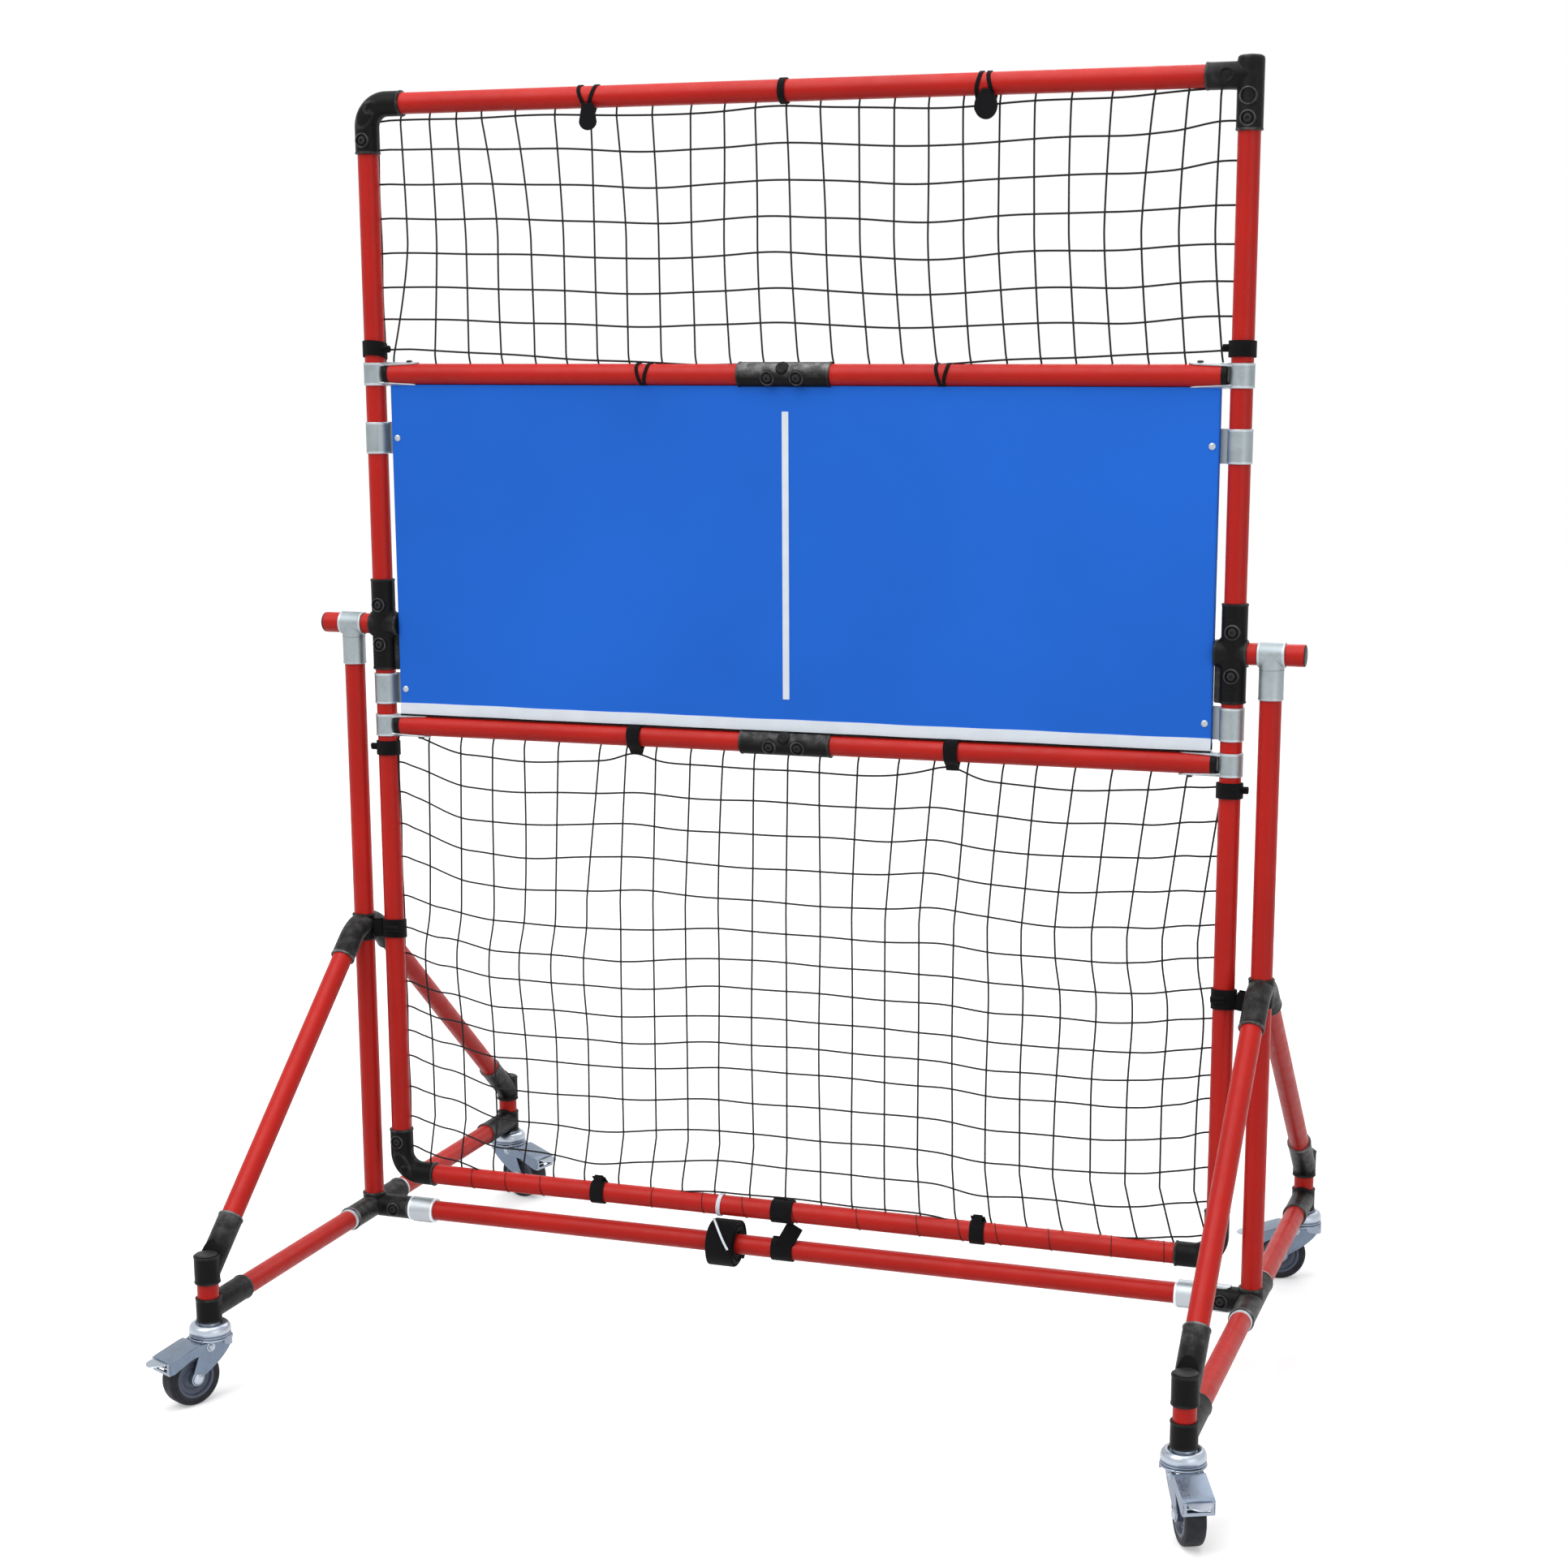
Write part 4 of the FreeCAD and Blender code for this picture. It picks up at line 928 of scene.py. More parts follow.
def build_board():
    """The blue board, its white tape round the lower edge, the white centre line and a dark cord under the
    tape as a painted shadow line.

    The board reaches up to the rail, so that no light shows between them.
    """
    low, high = span("rebound_board")
    board = Form()
    under_rail = plan.upper_z - plan.pipe_r + 0.1
    outline = corner_path(rectangle(low[0], high[0], low[2], under_rail, low[1]), 3.0)
    inset = unit(outline.mean(0) - outline)
    depth = high[1] - low[1]
    edge = ((0.0, 5.0), (0.0, 1.2), (0.3, 0.5), (0.9, 0.1), (1.5, 0.0))
    steps = edge + tuple((depth - y, pull) for y, pull in reversed(edge))
    board.surface(np.array([outline + Y * y + inset * pull for y, pull in steps]))
    piece("board_panel", board, "net_frame", "board_blue", "rebound_board")
    tape = Form()
    s_low, s_high = span("board_stripes")
    t = TAPE_SHEET
    x = np.linspace(s_low[0], s_high[0], 120)
    wave = 0.25 * np.sin(x / 41.0) + 0.18 * np.sin(x / 17.0 + 1.0)
    front, back, under = low[1], high[1], low[2]
    section = np.array([
        (front - t, TAPE_HEIGHT), (front - t - 0.1, 7.0), (front - t - 0.1, 0.6),
        (front - t + 0.2, -t + 0.1), (front, -t), (back, -t), (back + t - 0.2, -t + 0.1),
        (back + t, 0.6), (back + t, 9.0), (back, 9.0), (back, 0.0), (front, 0.0), (front, TAPE_HEIGHT),
    ])
    high_edge = section[:, 1] > 8.0
    grid = np.zeros((len(x), len(section), 3))
    grid[:, :, 0] = x[:, None]
    grid[:, :, 1] = section[:, 0]
    grid[:, :, 2] = under + section[:, 1] + wave[:, None] * high_edge
    tape.surface(grid)
    line_low, line_high = under + TAPE_HEIGHT + 27.0, high[2] - 29.0
    line = corner_path(rectangle(-3.0, 6.0, line_low, line_high, front - t), 0.6)
    plate(tape, line, Y * t, bevel=0.2, wear=0.0)
    piece("white_tape", tape, "net_frame", "stripe_white", "board_stripes")
    # Painted shadow: a dark cord along the line under the tape.
    trim = Form()
    path = np.stack([x, np.full_like(x, front - 0.6), under - 2.0 + 0.3 * wave], -1)
    cord(trim, path, 2.4, up=Z)
    piece("board_lower_cord", trim, "net_frame", "strap_black")


# Nets


def jitter(index, seed, amount):
    """A small fixed offset for each index, with no pattern to the eye."""
    return amount * np.sin(index * 12.9898 + seed * 4.1414) * np.cos(index * 7.233 + seed)


def behind(distance, start=46.0):
    """How far a strand's end has gone behind its pipe, by its distance from the pipe's axis."""
    return 13.0 * ease((start - distance) / (start - 9.0))


def knots(form, points, radius):
    """Small round swellings where strands cross, as low balls."""
    profile = np.array([(-0.8, 0.55), (0.0, 1.0), (0.8, 0.55)])
    angle = turns(6)
    ring = np.stack([np.cos(angle), np.zeros(6), np.sin(angle)], -1)
    for point in points:
        rows = [point + (ring * r + Y * a) * radius for a, r in profile]
        form.surface(np.array(rows))


class Mesh:
    """A square net that its ties pull out of true: where each strand runs, by formula."""

    def __init__(self, columns, rows, column_lean, row_sag, low, high):
        self.columns, self.rows = columns, rows
        self.column_lean, self.row_sag = column_lean, row_sag
        self.low, self.high = low, high
        self.edge = plan.upright_x - 9.0

    def column(self, x, z):
        """The x of a column at height z, kept inside the frame."""
        return np.clip(x + self.column_lean(x, z), -self.edge, self.edge)

    def row(self, x, z):
        """The height of a row at x."""
        return z + self.row_sag(x, z)

    def crossings(self):
        """Crossing points by repeated substitution of one formula in the other."""
        cx, cz = np.meshgrid(self.columns, self.rows)
        x, z = cx.copy(), cz.copy()
        for _k in range(5):
            x = self.column(cx, z)
            z = self.row(x, cz)
        return x, z

    def build(self, name, node):
        """Columns behind, rows in front, a knot at each crossing and a rope round the edge."""
        form = Form()
        thick = size("strand")
        lean = thick * 0.36
        low, high = self.low - 9.0, self.high + 9.0
        for x in self.columns:
            z = np.linspace(low, high, int((high - low) / 6))
            back = behind(z - low + 9.0) + behind(high + 9.0 - z)
            path = np.stack([self.column(x, z), plan.y + lean + back, z], -1)
            cord(form, path, thick * 0.92)
        edge = self.edge
        for z in self.rows:
            x = np.linspace(-edge, edge, 200)
            back = behind(x + edge + 9.0, 40.0) + behind(edge + 9.0 - x, 40.0)
            path = np.stack([x, plan.y - lean + back, self.row(x, z)], -1)
            cord(form, path, thick * 0.92, up=Z)
        x, z = self.crossings()
        inside = np.abs(x) < edge - 14
        knots(form, np.stack([x[inside], np.full(inside.sum(), plan.y), z[inside]], -1), thick * 0.62)
        for z in (low, high):
            x = np.linspace(-edge, edge, 160)
            path = np.stack([x, np.full_like(x, plan.y + 13.0), z + 0.8 * np.sin(x / 24.0)], -1)
            cord(form, path, thick, up=Z)
        for s in (-1, 1):
            z = np.linspace(low, high, 90)
            x = np.full_like(z, s * edge) + 0.6 * np.sin(z / 21.0)
            path = np.stack([x, np.full_like(z, plan.y + 13.0), z], -1)
            cord(form, path, thick)
        piece(name, form, "net_frame", "net_cord", node)


def build_upper_net():
    """Upper net: 25 by 8 strands, drawn out to the corners and top ties, slack on the rail below."""
    count = np.arange(-12, 13)
    columns = 8.5 + 45.7 * count - 5.0 * bulge(count, -10, 1.5) + jitter(count, 1, 1.3)
    level = np.arange(8)
    rows = 1648.0 - 45.3 * level + 3.0 * bulge(level, 6, 0.7) - 4.0 * bulge(level, 7, 0.5)
    low, high = plan.upper_z, plan.top_z

    def lean(x, z):
        """Columns stray left between corner and first tie, right before the last one, and right below."""
        up = np.clip((z - 1490) / 155, 0, 1.1) ** 1.35
        down = np.clip((1490 - z) / 145, 0, 1.1) ** 1.4
        top = -22.0 * bulge(x, -380, 75) - 13.0 * bulge(x, -205, 38) - 7.0 * bulge(x, 30, 60)
        top = top + 12.0 * bulge(x, 470, 60) - 5.0 * bulge(x, -530, 60)
        foot = 11.0 * ease((x + 260) / 420) - 26.0 * ease((-468 - x) / 82)
        return up * top + down * foot + jitter(np.round(x / 45.7), 2, 1.2) * np.sin(z / 47.0 + x)

    def sag(x, z):
        """Rows rise to both sides, dip right of the middle, and the lowest one hangs as a wide V."""
        share = (z - 1327) / 321
        lowest = ease(1 - share / 0.12)
        left = 9.5 * np.clip((-150 - x) / 420, 0, 1) ** 1.4 * (1 - 0.9 * ease((share - 0.9) / 0.1))
        dips = 2.5 * bulge(x, -15, 50) - 3.0 * bulge(x, -180, 80)
        dips = dips - (5.0 + 3.0 * bulge(share, 0.43, 0.2)) * bulge(x, 190, 90)
        right = 7.0 * ease((x - 430) / 130) + 11.0 * ease((x - 500) / 80) * bulge(share, 0.80, 0.13)
        vee = 0.048 * np.clip(np.abs(x - 30) - 150, 0, 420)
        wave = 0.8 * np.sin(x / 61.0 + z * 0.13) + 0.5 * np.sin(x / 27.0 + z * 0.31)
        return (left + dips + right) * (1 - lowest) + vee * lowest + wave

    Mesh(columns, rows, lean, sag, low, high).build("upper_net_cords", "upper_net")


def build_lower_net():
    """Lower net: 25 by 15 strands, its top row in swags between ties, rows closer together low down."""
    count = np.arange(-12, 13)
    columns = -3.0 + np.where(count < 0, 48.5, 46.9) * count + jitter(count, 5, 1.6)
    level = np.arange(14)
    step = 44.5 + 2.5 * bulge(level, 2.6, 0.8) - 5.0 * bulge(level, 6, 1.8) - 9.0 * bulge(level, 8.7, 0.9)
    step = step + 3.0 * bulge(level, 10.2, 0.6)
    rows = 795.0 - np.concatenate([[0], np.cumsum(step)])
    low, high = plan.bottom_z, plan.lower_z

    def lean(x, z):
        """Columns stray right above, most beside the ties, spread a little low down and more at the foot."""
        up = np.clip((z - 600) / 205, 0, 1.1)
        middle_share = bulge(z, 490, 65)
        low_share = ease((570 - z) / 60)
        foot_share = np.clip((265 - z) / 60, 0, 1.4)
        top = 5.0 + 17.0 * bulge(x, -285, 42) + 5.0 * bulge(x, -130, 70) - 4.0 * bulge(x, 30, 40)
        top = top + 13.0 * ease((x - 70) / 80) + 8.0 * ease((x - 300) / 200)
        left, right = -ease((-230 - x) / 90), ease((x - 200) / 250)
        low_lean = (4.0 * left + 5.0 * right) * low_share + (7.0 * left + 5.0 * right) * middle_share
        foot = 17.0 * np.clip((x - 120) / 420, 0, 1) - 9.0 * ease((60 - x) / 180)
        stray = jitter(np.round(x / 47.7), 8, 1.6) * np.sin(z / 60.0 + x)
        return up * top + low_lean + foot_share * foot + stray

    def sag(x, z):
        """Rows turn up steeply at the left edge, hang between the ties and sag left of the middle."""
        share = (z - 196) / 599
        upper = ease((share - 0.60) / 0.08)
        lower, foot = 1 - upper, ease((0.32 - share) / 0.1)
        first = ease((share - 0.95) / 0.05)
        ties = 4.0 * bulge(x, -215, 50) + 7.0 * bulge(x, 205, 45)
        above = 28.0 * ease((-470 - x) / 110) - 6.0 * bulge(x, -390, 75) - 6.0 * bulge(x, 370, 80) + ties
        above = above + 6.0 * ease((x - 490) / 60) + first * 10.0 * (bulge(x, -220, 28) + bulge(x, 230, 30))
        below = -14.0 * ease((-90 - x) / 170) * ease((x + 520) / 90) + 10.0 * ease((-520 - x) / 50)
        below = below + 8.0 * foot * ease((-440 - x) / 90)
        below = below - 7.0 * ease((x - 210) / 90) * ease((540 - x) / 110)
        below = below + 8.0 * ease((x - 490) / 80) + 8.0 * bulge(share, 0.26, 0.1) * ease((x - 540) / 35)
        below = below - 7.0 * ease((0.2 - share) / 0.1) * (bulge(x, 262, 45) + bulge(x, -290, 45))
        wave = 0.9 * np.sin(x / 57.0 + z * 0.17) + 0.6 * np.sin(x / 25.0 + z * 0.23)
        return above * upper + below * lower + wave

    Mesh(columns, rows, lean, sag, low, high).build("lower_net_cords", "lower_net")
    lacing = Form()
    radius = plan.pipe_r + size("thread") / 2 + 0.15
    for k, x in enumerate(np.linspace(-500, 520, 15)):
        angle = np.linspace(0, 2 * math.pi, 30)
        shift = 9.0 * np.sin(angle / 2 + jitter(k, 9, 0.6))
        across_pipe = plan.y - radius * np.sin(angle - 0.6)
        up_pipe = plan.bottom_z + radius * np.cos(angle - 0.6)
        path = np.stack([x + shift + jitter(k, 4, 26.0), across_pipe, up_pipe], -1)
        cord(lacing, path, size("thread"), up=X, sides=6)
    piece("lacing_thread", lacing, "net_frame", "net_cord")


# Straps


def wrap(form, centre, axis, width, laps=1.25, begin=0.0, slant=0.0, tail=0.0, radius=None):
    """A strap wound round a pipe: an open spiral whose end laps over its start, with a free tail."""
    thick = size("strap")
    radius = plan.pipe_r + 0.3 if radius is None else radius
    t = np.linspace(0, 1, int(44 * laps))
    angle = begin + 2 * math.pi * laps * t
    lift = radius + thick / 2 + (thick + 0.15) * laps * t
    first, second = across(axis)
    out = np.cos(angle)[:, None] * first + np.sin(angle)[:, None] * second
    path = centre + out * lift[:, None] + axis * (slant * np.cos(angle))[:, None]
    if tail:
        ahead = unit(path[-1] - path[-2])
        run = np.arange(1.5, tail, 1.5)[:, None]
        path = np.vstack([path, path[-1] + ahead * run + out[-1] * (run / tail) ** 2 * tail * 0.25])
        out = np.vstack([out, np.repeat(out[-1:], len(run), 0)])
    ribbon(form, path, out, width, thick)


def tear_loop(form, centre, half_top, half_end, reach, width, thick, point=-1):
    """Two bands round a pipe whose ends draw together, or apart, below it: a drop-shaped closed loop each.

    The loop follows the pipe for two thirds of a turn. Two straight sides then meet at reach below it.
    """
    r = plan.pipe_r + 0.4 + thick / 2
    angle = np.radians(np.linspace(-30, 210, 40))
    circle = np.stack([np.cos(angle), np.sin(angle)], -1) * r
    down = np.linspace(0, 1, 12)[1:, None]
    tip = np.array([0.0, -reach])
    fall_side = circle[-1] * (1 - down) + tip * down
    rise_side = (tip * (1 - down) + circle[0] * down)[:-1]
    ring = np.vstack([circle, fall_side, rise_side])
    out = unit(ring)
    fall = ease((r - ring[:, 1]) / (2 * r))
    for s in (-1, 1):
        x = s * (half_top + (half_end - half_top) * fall)
        path = centre + np.stack([x, ring[:, 0], -point * ring[:, 1]], -1)
        normal = np.stack([np.zeros(len(x)), out[:, 0], -point * out[:, 1]], -1)
        ribbon(form, path, normal, width, thick, True)


def tag(form, centre, half_top, half_end, drop, thick):
    """A strap's hanging end: sides that spread downward and a round foot."""
    down = np.linspace(0, 1, 9)
    arc = np.linspace(0, math.pi, 20)[1:-1]
    straight_drop = drop - half_end * 0.9
    spread = half_top + (half_end - half_top) * down
    x = np.concatenate([spread, half_end * np.cos(arc), -spread[::-1]])
    foot = -straight_drop - 0.9 * half_end * np.sin(arc)
    z = np.concatenate([-down * straight_drop, foot, -down[::-1] * straight_drop])
    plate(form, centre + np.stack([x, np.zeros(len(x)), z], -1), Y * thick, bevel=0.6, wear=0.0)


def knob(form, centre, axis, radius, depth):
    """A strap's end rolled into a round knob."""
    angle = np.linspace(0, 4.4 * math.pi, 90)
    first, second = across(axis, Z)
    lift = radius * (0.25 + 0.75 * angle / angle[-1])
    out = np.cos(angle)[:, None] * first + np.sin(angle)[:, None] * second
    ribbon(form, centre + out * lift[:, None], out, depth, size("strap") * 0.9)


def build_straps():
    """Straps of the net frame: top ties, rail bands, upright bands and the bands to the stand."""
    straps = Form()
    left, right = (plan.at(x, 0, plan.top_z) for x in TOP_STRAPS)
    tear_loop(straps, left, 11.5, 4.0, 24.0, 5.0, 1.2)
    tag(straps, left + np.array([3.5, -16.6, -9]), 8.0, 12.5, 34.0, 1.8)
    tag(straps, left + np.array([3.5, -14.4, -12]), 8.0, 10.5, 28.0, 3.2)
    tear_loop(straps, right, 5.0, 10.0, 24.0, 5.0, 1.2)
    tag(straps, right + np.array([3.5, -16.6, -7]), 5.0, 15.0, 34.5, 1.6)
    arc = np.linspace(0, 2 * math.pi, 60)[:-1]
    hang = right + np.stack([3.5 + 13.2 * np.cos(arc), np.full(59, -14.2), -27 + 15.5 * np.sin(arc)], -1)
    ribbon(straps, hang, np.stack([np.cos(arc), np.zeros(59), np.sin(arc)], -1), 5.0, 2.4, True)
    for x in UPPER_STRAPS:
        tear_loop(straps, plan.at(x, 0, plan.upper_z), 8.0, 2.5, 19.0, 4.5, 1.2)
    for x in LOWER_STRAPS:
        centre = plan.at(x, 0, plan.lower_z)
        tear_loop(straps, centre, 5.5, 4.0, 25.0, 9.0, 1.4)
        wrap(straps, centre, X, 18.0, laps=1.15, begin=2.2, slant=1.0, radius=plan.pipe_r + 1.9)
    for x in BOTTOM_STRAPS:
        centre = plan.at(x, 0, plan.bottom_z)
        wrap(straps, centre, X, 20.0, laps=1.3, begin=2.4, slant=1.6, tail=12.0)
        tear_loop(straps, centre, 5.0, 3.0, 24.0, 7.0, 1.2, point=1)
    wrap(straps, plan.at(0, 0, plan.top_z), X, 9.0, laps=1.2, begin=2.0)
    wrap(straps, plan.at(LINK_X, 0, plan.bottom_z), X, 31.0, laps=1.3, begin=2.6, slant=1.0)
    for s in (-1, 1):
        for z in UPRIGHT_STRAPS:
            centre = plan.at(s * plan.upright_x, 0, z)
            above = z > plan.pivot_z
            laps, slant = (1.9 if s > 0 else 1.25), (3.5 if s < 0 and above else 1.0)
            wrap(straps, centre, Z, 20.0, laps=laps, begin=1.0, slant=slant, tail=9.0)
            side = -s if above else s
            knob(straps, centre + np.array([side * 19.5, -3.0, 1.0]), X, 5.0, 9.0)
        centre = plan.at(s * plan.upright_x, 0, dict(SIDE_TIES)[s])
        wrap(straps, centre, Z, 26.0, laps=1.4, begin=0.5, slant=2.0)
        knob(straps, centre + np.array([-s * 5.0, -17.0, 2.0]), X, 4.6, 18.0)
    piece("frame_bands", straps, "net_frame", "strap_black", "frame_straps")
    cord_tie = Form()
    centre = plan.at(WHITE_TIE_X, 0, plan.bottom_z)
    for k in range(3):
        angle = np.linspace(0, 2 * math.pi, 40)[:-1]
        r = plan.pipe_r + 1.1
        path = centre + np.stack([
            np.full(39, (k - 1) * 2.0) + 0.8 * np.sin(angle), -r * np.cos(angle), r * np.sin(angle)], -1)
        cord(cord_tie, path, 1.9, up=X, closed=True)
    piece("white_tie", cord_tie, "net_frame", "stripe_white")
    build_stand_straps()


def build_stand_straps():
    """Straps of the stand: the ties' links, the slanted middle link with its band and the wound strap."""
    straps = Form()
    for s, z in SIDE_TIES:
        start = s * (plan.upright_x + plan.pipe_r + 3.4)
        end = s * (plan.post_x - plan.joint_r - 0.8)
        t = np.linspace(0, 1, 14)[:, None]
        for k in (-1, 1):
            path = plan.at(start, k * 6.0, z) * (1 - t) + plan.at(end, k * 5.0, z - 2) * t
            path = path + Y * (k * 1.2 * np.sin(t * math.pi))
            ribbon(straps, path, np.repeat((Y * k)[None], 14, 0), 24.0, 1.6)
    centre = plan.at(LINK_X, 0, plan.base_z)
    wrap(straps, centre, X, 31.0, laps=1.3, begin=2.8, slant=1.2)
    top = plan.at(11, -4.0, plan.bottom_z - plan.pipe_r - 3.6)
    low = plan.at(-4, -12.0, plan.base_z + plan.pipe_r - 6.0)
    t = np.linspace(0, 1, 16)[:, None]
    path = top * (1 - t) + low * t
    ribbon(straps, path, np.repeat(FRONT[None], 16, 0), 24.0, 1.6)
    piece("stand_bands", straps, "stand", "strap_black", "stand_straps")
    roll = Form()
    laps, pitch = 6.3, 2.9
    angle = np.linspace(0, laps * 2 * math.pi, 420)
    lift = plan.pipe_r + 1.4 + pitch * angle / (2 * math.pi) + 0.35 * np.sin(angle * 1.3)
    out = np.stack([np.zeros_like(angle), -np.cos(angle + 2.2), np.sin(angle + 2.2)], -1)
    centre = plan.at(ROLL_X, 0, plan.base_z)
    drift = 1.2 * np.sin(angle * 0.7) + 0.5 * np.sin(angle * 2.9)
    path = centre + out * lift[:, None] + X * drift[:, None]
    ribbon(roll, path, out, 37.0, 2.0)
    piece("wound_strap", roll, "stand", "strap_black", "strap_roll")
    tail = Form()
    angle = np.radians(np.linspace(80, 4, 40))
    sweep_x = np.linspace(-109, -78, 40) - centre[0]
    over_roll = 35.6
    path = centre + np.stack([sweep_x, -over_roll * np.cos(angle), over_roll * np.sin(angle)], -1)
    cord(tail, path, 3.4, up=X, sides=10)
    piece("white_tie_tail", tail, "stand", "stripe_white")


# Stand


def build_stand_joints():
    """The stand's black joints: corners, braces' collars, shoulders and feet, with their bolts."""
    joint, screws = Form(), Form()
    r = plan.joint_r
    for sx in (-1, 1):
        for sy in (-1, 1):
            foot = plan.at(sx * plan.post_x, sy * plan.half_depth, plan.caster_z)
            collar(joint, foot, foot + Z * CORNER_LOW_COLLAR, lip=0.6)
            level = plan.at(sx * plan.post_x, sy * plan.half_depth, plan.base_z)
            arm(joint, level, -Y * sy, Z, CORNER_ARM, bright=0.5, lip=0.8)
            head = plan.at(sx * plan.post_x, sy * plan.half_depth, plan.corner_top)
            collar(joint, head - Z * CORNER_TOP_COLLAR, head, lip=0.6)
            low = plan.at(sx * plan.post_x, sy * plan.half_depth, BRACE_LOW_Z)
            along = unit(plan.at(sx * plan.post_x, 0, BRACE_TOP_Z) - low)
            arm(joint, low, along, Z, CORNER_ARM, bright=1.0, lip=0.8, fillet=3.0)
    piece("corner_collars", joint, "stand", "black_joint", "rail_corner_joints", "brace_corner_joints")
    joint = Form()
    for sx in (-1, 1):
        post = plan.at(sx * plan.post_x, 0, 0)
        collar(joint, post + Z * SHOULDER_LOW_Z, post + Z * SHOULDER_TOP_Z, lip=0.5)
        for sy in (-1, 1):
            slope = unit(np.array([0, sy * plan.half_depth, BRACE_LOW_Z - BRACE_TOP_Z]))
            bend_at = post + Z * BRACE_TOP_Z + slope * ((SHOULDER_BEND_Z - BRACE_TOP_Z) / slope[2])
            start = post + Z * SHOULDER_BEND_Z
            after = bend_at + slope * 26.0
            t = np.linspace(0, 1, 16)[:, None]
            path = start * (1 - t) ** 2 + bend_at * 2 * t * (1 - t) + after * t * t
            tip = post + Z * BRACE_TOP_Z + slope * SHOULDER_ARM
            run = np.linalg.norm(tip - after)
            rest = [a for a in np.linspace(4, run - 5, 5)]
            path = np.vstack([path] + [after + slope * a for a in rest])
            edge = mouth(r, plan.seat_r, 0.8)
            radii = np.full(len(path), r)
            ahead = unit(np.gradient(path, axis=0))
            ahead[15:] = slope
            path = np.vstack([path] + [tip - slope * a for a, _radius in reversed(edge)] + [tip - slope * 12])
            radii = np.concatenate([radii, [radius for _a, radius in reversed(edge)], [plan.seat_r]])
            ahead = np.vstack([ahead, np.repeat(slope[None], len(edge) + 1, 0)])
            first = np.repeat((X * sx)[None], len(path), 0)
            wears = np.full(len(path), 0.15)
            wears[-6:-2] = 0.9
            grid = around(path, first, np.cross(ahead, first), radii[:, None] * np.ones((1, 64)))
            joint.surface(grid, wear=wears[:, None])
    piece("brace_shoulders", joint, "stand", "black_joint", "brace_top_joints")
    joint = Form()
    for sx in (-1, 1):
        centre = plan.at(sx * plan.post_x, 0, plan.base_z)
        collar(joint, centre - Y * FOOT_HALF, centre + Y * FOOT_HALF, front=X * sx, lip=0.8, wear=0.2)
        arm(joint, centre, -X * sx, Y, FOOT_CROSS_ARM, bright=0.4)
        arm(joint, centre, Z, Y, FOOT_POST_ARM, fillet=2.0, bright=0.3)
        bolt(joint, screws, centre - X * (sx * 38.0), axis=X)
    piece("foot_crosses", joint, "stand", "black_joint", "foot_joints")
    piece("stand_bolts", screws, "stand", "screw_steel", "stand_screws")


def build_zinc_stand():
    """Swivel tees on the posts and the clamps at the cross tube's ends."""
    zinc = Form()
    tee_half, tee_stem, bead_drop = 17.5, 57.0, 18.6
    for s in (-1, 1):
        centre = plan.at(s * plan.post_x, 0, plan.pivot_z)
        barrel = TEE_BORE_R + CLAMP_SHEET
        collar(zinc, centre - X * tee_half, centre + X * tee_half, barrel, lip=0.4, wear=0.15, seam=False)
        arm(zinc, centre, -Z, X, tee_stem, plan.clamp_r, barrel, 2.5, wear=0.15, bright=0.4, lip=0.4)
        bead = turns(48)
        bead_r = plan.clamp_r - 0.1
        ring = np.stack([bead_r * np.cos(bead), bead_r * np.sin(bead), np.full(len(bead), -bead_drop)], -1)
        cord(zinc, centre + ring, 1.3, up=Z, sides=6, closed=True)
    for s in (-1, 1):
        for k in (-1, 1):
            mouth_at = plan.at(s * plan.post_x, k * FOOT_HALF, plan.base_z)
            ring = [(-4, 12.5), (-4, 14.6), (5.4, 15.2), (6.4, 14.9), (6.8, 14.1), (6.8, 13.0)]
            # Painted highlight: these rings are drawn at full brightness.
            lathe(zinc, mouth_at, Y * k, ring, 48, front=Z, wear=1.0)
    piece("swivel_barrels", zinc, "stand", "zinc_clamp", "swivel_tees")
    zinc = Form()
    inset, forward = 4, 5.0
    for s in (-1, 1):
        start = plan.at(s * (plan.post_x - FOOT_CROSS_ARM - SEAT_GAP), 0, plan.base_z)
        stop = start - X * (s * CROSS_CLAMP)
        ridge = plan.clamp_r + CLAMP_SHEET
        # Painted highlight: the cross clamps are drawn brightly lit.
        collar(zinc, start, stop, ridge, lip=0.5, wear=0.9, seam=False)
        for up in (1, -1):
            aside = Z * up * (ridge - 0.4)
            first, last = start - X * (s * inset), stop + X * (s * inset)
            cord(zinc, straight(first + aside + FRONT * forward, last + aside + FRONT * forward), 1.6)
        if s > 0:
            for up in (Z, -Z):
                tapered_ear(zinc, stop + X * 4, X, up, 70.0, plan.joint_r + 0.5, 30.0, 30.0)
    piece("cross_clamps", zinc, "stand", "zinc_clamp", "cross_tube_clamps")


def build_caps():
    """Plastic caps on the stubs and corner posts; the left stub's is domed, the right one's flat."""
    caps = Form()
    r = plan.pipe_r
    plug = [(-6, CAP_PLUG_R), (0.0, CAP_PLUG_R)]
    stub_end_x = 684.0
    for s in (-1, 1):
        end = plan.at(s * stub_end_x, 0, plan.pivot_z)
        rise = 4.5 if s < 0 else 2.0
        face = [(0.0, r - 0.3), (rise * 0.5, r - 0.3), (rise, r - 4.0), (rise, 2.0)]
        lathe(caps, end, X * s, rounded(plug + face, 1.6), 48)
    piece("stub_end_caps", caps, "net_frame", "cap_plastic", "stub_caps")
    caps = Form()
    for sx in (-1, 1):
        for sy in (-1, 1):
            head = plan.at(sx * plan.post_x, sy * plan.half_depth, plan.corner_top)
            face = [(0.0, r + 0.5), (1.4, r + 0.6), (2.2, r - 2.0), (2.4, 3.0)]
            lathe(caps, head, Z, rounded(plug + face, 0.9), 48)
    piece("corner_end_caps", caps, "stand", "cap_plastic", "corner_caps")


# Casters


